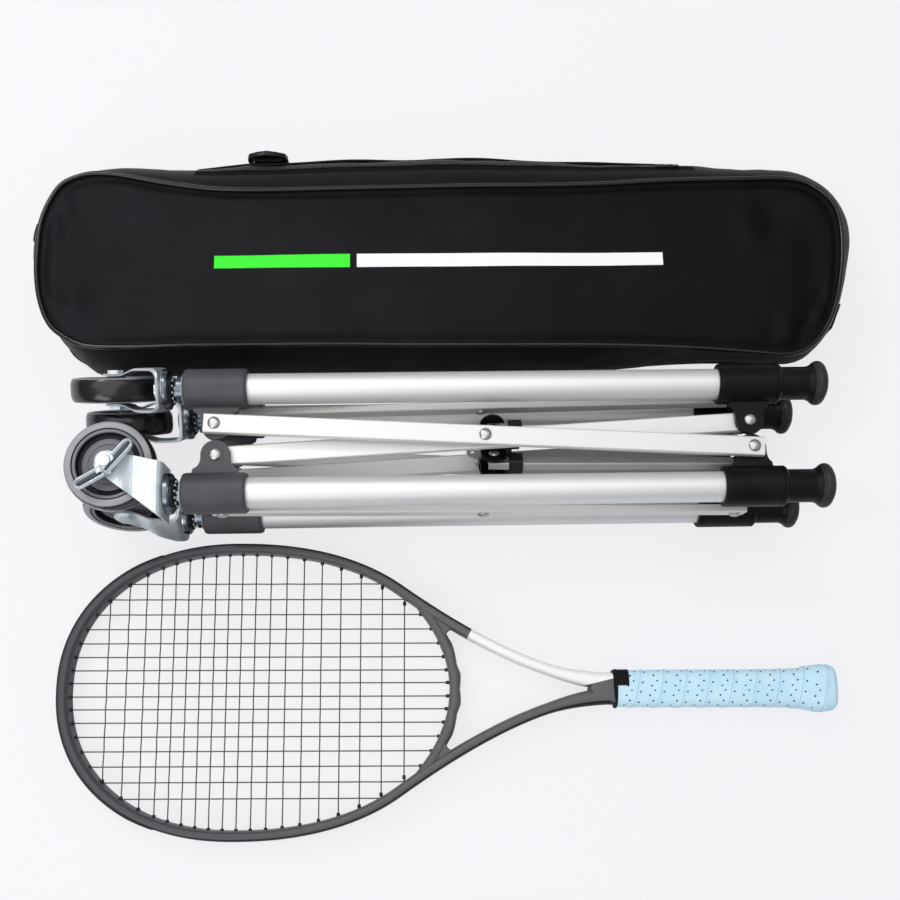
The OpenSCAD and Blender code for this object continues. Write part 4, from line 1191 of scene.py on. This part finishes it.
# The slider's body and its pull: how far proud and how far back each one lies, and its size
ZIP_BLOCKS = [(1.4, 0, (9, 6, 1.8)), (2.2, 9, (16, 4.4, 0.9))]
zip_parts = []
for proud, back, size in ZIP_BLOCKS:
    place = on_wall(slider_at, COIL_SHARE, proud) - Vector((back * MM, 0, 0))
    bpy.ops.mesh.primitive_cube_add(size=1, location=place, rotation=square_on_wall)
    block = bpy.context.object
    block.scale = Vector(size) * MM
    zip_parts.append(smooth(bevel(settle(block, "zip_block"), 0.3, 3)))
ride_as(settle(give(joined("zip_slider", zip_parts), buckle_acetal), "zip_slider"), "bag", "buckle_plastic")
print("zip:", ZIP_TO - ZIP_FROM, "mm long")

# %% [markdown]
# ### Strap and buckle
# The carrying strap is ribbed webbing. It lies on edge along the far wall, from end to end of the zip, and
# bows in and out a little. A slide buckle rides on it, with a loop of webbing below its bar.

# %% Webbing strap
STRAP_TOP = [(-229, 295.5), (-184, 301.2), (-107, 303.3), (-11, 305.6), (87, 303.0), (161, 299.5), (208, 298.5),
             (232, 293.5), (242, 290.5)]
STRAP_FROM, STRAP_LENGTH, STRAP_STEPS = -229, 471, 156
STRAP_LOW_Z, STRAP_TOP_Z, STRAP_THICK = 10.5, 42.0, 1.9
strap_xs = [STRAP_FROM + STRAP_LENGTH * k / STRAP_STEPS for k in range(STRAP_STEPS + 1)]
webbing = Finish("black webbing", tint(38, 38, 40), 0.7, 0.0, Specular_IOR_Level=0.1)
wx, _, wz = webbing.split(webbing.place())
rib = ((wx + wz * 0.5) * (math.tau / 0.0026)).sine() * ((wz - wx * 0.1) * (math.tau / 0.0016)).sine()
# The grooves between the ribs are painted darker: painted shade.
webbing.feed("Base Color", webbing.blend(rib.ramp(-1, 1), tint(8, 8, 9), tint(38, 38, 40)))
webbing.bump(rib, 0.8, 0.0005)


def strap_ring(k):
    x = strap_xs[k]
    top_y = between(STRAP_TOP, x) + 0.8 * math.sin(x * 0.045)
    low_y = top_y - 5.0 + 1.2 * math.sin(x * 0.03)
    top_z = STRAP_TOP_Z + 0.9 * math.sin(x * 0.06)
    ring = [Vector((x, low_y + (top_y - low_y) * share ** 0.7 + 1.0, STRAP_LOW_Z + (top_z - STRAP_LOW_Z) * share))
            for share in (0, 0.25, 0.5, 0.75, 1.0)]
    return [p * MM for p in ring] + [(p - Vector((0, STRAP_THICK, 0))) * MM for p in reversed(ring)]


strap = smooth(sweep("bag_strap_web", strap_xs, strap_ring), 50)
ride_as(settle(give(strap, webbing), "bag_strap_web"), "bag", "bag_webbing", "bag_strap")
print("strap:", STRAP_LENGTH, "mm long")

# %% Slide buckle
BUCKLE_LEFT, BUCKLE_RIGHT, BUCKLE_Y = -183.5, -146.5, 309.6
BUCKLE_WIDE, BUCKLE_HALF, BUCKLE_SIDE = BUCKLE_RIGHT - BUCKLE_LEFT, 2.2, 4
OUTLINE = [(0.0, 9.0), (0.06, 4.0), (0.3, 1.0), (0.7, 1.0), (0.94, 4.0), (1.0, 9.0), (1.0, 38.0), (0.95, 42.5),
           (0.75, 45.5), (0.5, 48.0), (0.25, 46.0), (0.05, 42.5), (0.0, 38.0)]
slide_buckle = prism("slide_buckle", [(BUCKLE_LEFT + BUCKLE_WIDE * x, z) for x, z in OUTLINE], BUCKLE_HALF)
for low_z, high_z in ((8.0, 19.0), (27.0, 38.0)):
    slot_middle = ((BUCKLE_LEFT + BUCKLE_RIGHT) / 2 * MM, (low_z + high_z) / 2 * MM, 0)
    bpy.ops.mesh.primitive_cube_add(size=1, location=slot_middle)
    slot_tool = bpy.context.object
    slot_tool.scale = ((BUCKLE_WIDE - 2 * BUCKLE_SIDE) * MM, (high_z - low_z) * MM, 12 * MM)
    apply_modifier(slide_buckle, "BOOLEAN", object=slot_tool, operation="DIFFERENCE")
    bpy.data.objects.remove(slot_tool)
bevel(slide_buckle, 1.2, 3, corner=35)
stand = Matrix.Translation(Vector((0, BUCKLE_Y * MM, 0))) @ Matrix.Rotation(math.pi / 2, 4, "X")
smooth(settle(slide_buckle, "slide_buckle", stand))
ride_as(give(slide_buckle, buckle_acetal), "bag", "buckle_plastic", "bag_buckle")
print("buckle:", BUCKLE_WIDE, "mm wide")

# %% Webbing through the buckle
WEB_LINE = [(303.6, 9.5), (306.0, 10.5), (309.6, 13.5), (312.3, 18), (312.8, 23), (312.3, 30), (309.6, 36.6),
            (306.5, 41.4), (303.6, 43.4)]
WEB_THICK, WEB_INSET = 0.7, 4.4


def web_ring(k):
    (y0, z0), (y1, z1) = WEB_LINE[max(k - 1, 0)], WEB_LINE[min(k + 1, len(WEB_LINE) - 1)]
    across = Vector((0, z1 - z0, y0 - y1)).normalized() * WEB_THICK
    left, right = (Vector((x, *WEB_LINE[k])) for x in (BUCKLE_LEFT + WEB_INSET, BUCKLE_RIGHT - WEB_INSET))
    return [spot * MM for spot in (left - across, right - across, right + across, left + across)]


buckle_web = smooth(sweep("buckle_web", WEB_LINE, web_ring), 50)
ride_as(give(buckle_web, webbing), "bag", "bag_webbing")
print("webbing in the buckle:", round(BUCKLE_WIDE - 2 * WEB_INSET, 1), "mm wide")

# %% [markdown]
# A short tab of webbing is sewn on the wall at each end of the bag. It follows the wall, so it is swept over
# a few of the wall's own places, a millimetre and a half proud of it.

# %% End tabs
TAB_SHARES = [(0.3, -0.4), (0.31, 1.5), (0.6, 1.5), (0.61, -0.4)]
tabs = []
for is_right, low_y, high_y in ((False, 216, 236), (True, 134, 160)):
    run = [k for k in range(RING_POINTS) if (panel_line[k].x > 0) == is_right
           and abs(outward[k].x) > 0.5 and low_y < panel_line[k].y < high_y]
    run.sort(key=lambda k: panel_line[k].y)
    tab = sweep("tab", run, lambda k: [on_wall(run[k], share, proud) for share, proud in TAB_SHARES])
    tabs.append(smooth(tab))
ride_as(give(joined("end_tabs", tabs), webbing), "bag", "bag_webbing")
print("end tabs:", len(tabs))

# %% [markdown]
# ## Studio
# A plain pale floor and soft light: a wide lamp overhead, a small key lamp at the far left, a larger and
# softer one at the near left, and a gentle sky that is darker at the horizon, so that round metal gets its
# dark edges. The floor is a little brighter to the camera than to the object, so that it reads as a white
# sweep and still holds the shadows.

# %% Floor
CAMERA_SHARE = 0.8
bpy.ops.mesh.primitive_plane_add(size=14, location=(0, 0, -0.0005))
floor = bpy.context.object
floor.name = "studio_floor"
sweep_paper = Finish("studio floor", tint(236, 236, 240), 0.9)
sweep_paper.feed("Roughness", sweep_paper.grain(sweep_paper.place(), 6.0, 2.0) * 0.1 + 0.85)


def show_to_camera(tree, share, lit, seen):
    """That share of what the camera sees is the second shader. The light meets the first."""
    mix = tree.nodes.new("ShaderNodeMixShader")
    for socket, source in zip(mix.inputs, (share, lit.outputs[0], seen.outputs[0])):
        tree.links.new(source, socket)
    output = next(n for n in tree.nodes if n.type in ("OUTPUT_MATERIAL", "OUTPUT_WORLD"))
    tree.links.new(mix.outputs[0], output.inputs["Surface"])


light_path = sweep_paper.tree.nodes.new("ShaderNodeLightPath")
glow = sweep_paper.tree.nodes.new("ShaderNodeEmission")
glow.inputs["Color"].default_value = tint(249, 248, 251)
glow.inputs["Strength"].default_value = 1.0
to_camera = Flow(sweep_paper, light_path.outputs["Is Camera Ray"]) * CAMERA_SHARE
show_to_camera(sweep_paper.tree, to_camera.socket, sweep_paper.shader, glow)
floor.data.materials.append(sweep_paper.material)
print("floor:", [round(side) for side in floor.dimensions[:2]], "m")

# %% Sky
world = bpy.data.worlds.new("studio")
bpy.context.scene.world = world
world.use_nodes = True
sky = world.node_tree
sky_background = next(n for n in sky.nodes if n.type == "BACKGROUND")
sky_background.inputs["Color"].default_value = (0.95, 0.96, 1.0, 1)
sky_direction = sky.nodes.new("ShaderNodeTexCoord")
sky_height = sky.nodes.new("ShaderNodeSeparateXYZ")
sky_ramp = sky.nodes.new("ShaderNodeMapRange")
for socket, value in (("From Min", 0.0), ("From Max", 0.8), ("To Min", 0.18), ("To Max", 0.52)):
    sky_ramp.inputs[socket].default_value = value
sky.links.new(sky_direction.outputs["Generated"], sky_height.inputs[0])
sky.links.new(sky_height.outputs["Z"], sky_ramp.inputs["Value"])
sky.links.new(sky_ramp.outputs[0], sky_background.inputs["Strength"])
camera_sky = sky.nodes.new("ShaderNodeBackground")
camera_sky.inputs["Color"].default_value = tint(245, 244, 247)
camera_sky.inputs["Strength"].default_value = 1.0
sky_path = sky.nodes.new("ShaderNodeLightPath")
show_to_camera(sky, sky_path.outputs["Is Camera Ray"], sky_background, camera_sky)
print("sky nodes:", len(sky.nodes))

# %% Lamps
# Name, place, aim, size in metres and power in watts
LAMPS = [("overhead lamp", (-0.4, 0.3, 1.9), (0, 0.05, 0), (2.6, 2.4), 21),
         ("key lamp", (-0.95, 1.15, 1.65), (-0.1, 0.05, 0), (0.5, 0.3), 7.5),
         ("near lamp", (-1.0, -1.3, 1.3), (-0.1, 0, 0.05), (1.2, 0.8), 9)]
for name, place, aim, size, power in LAMPS:
    bpy.ops.object.light_add(type="AREA", location=place)
    light = bpy.context.object
    light.name = name
    light.data.shape = "RECTANGLE"
    light.data.size, light.data.size_y = size
    light.data.energy = power
    light.rotation_euler = (Vector(aim) - Vector(place)).to_track_quat("-Z", "Y").to_euler()
bpy.context.scene.view_settings.view_transform = "Standard"
print("lamps:", len(LAMPS))
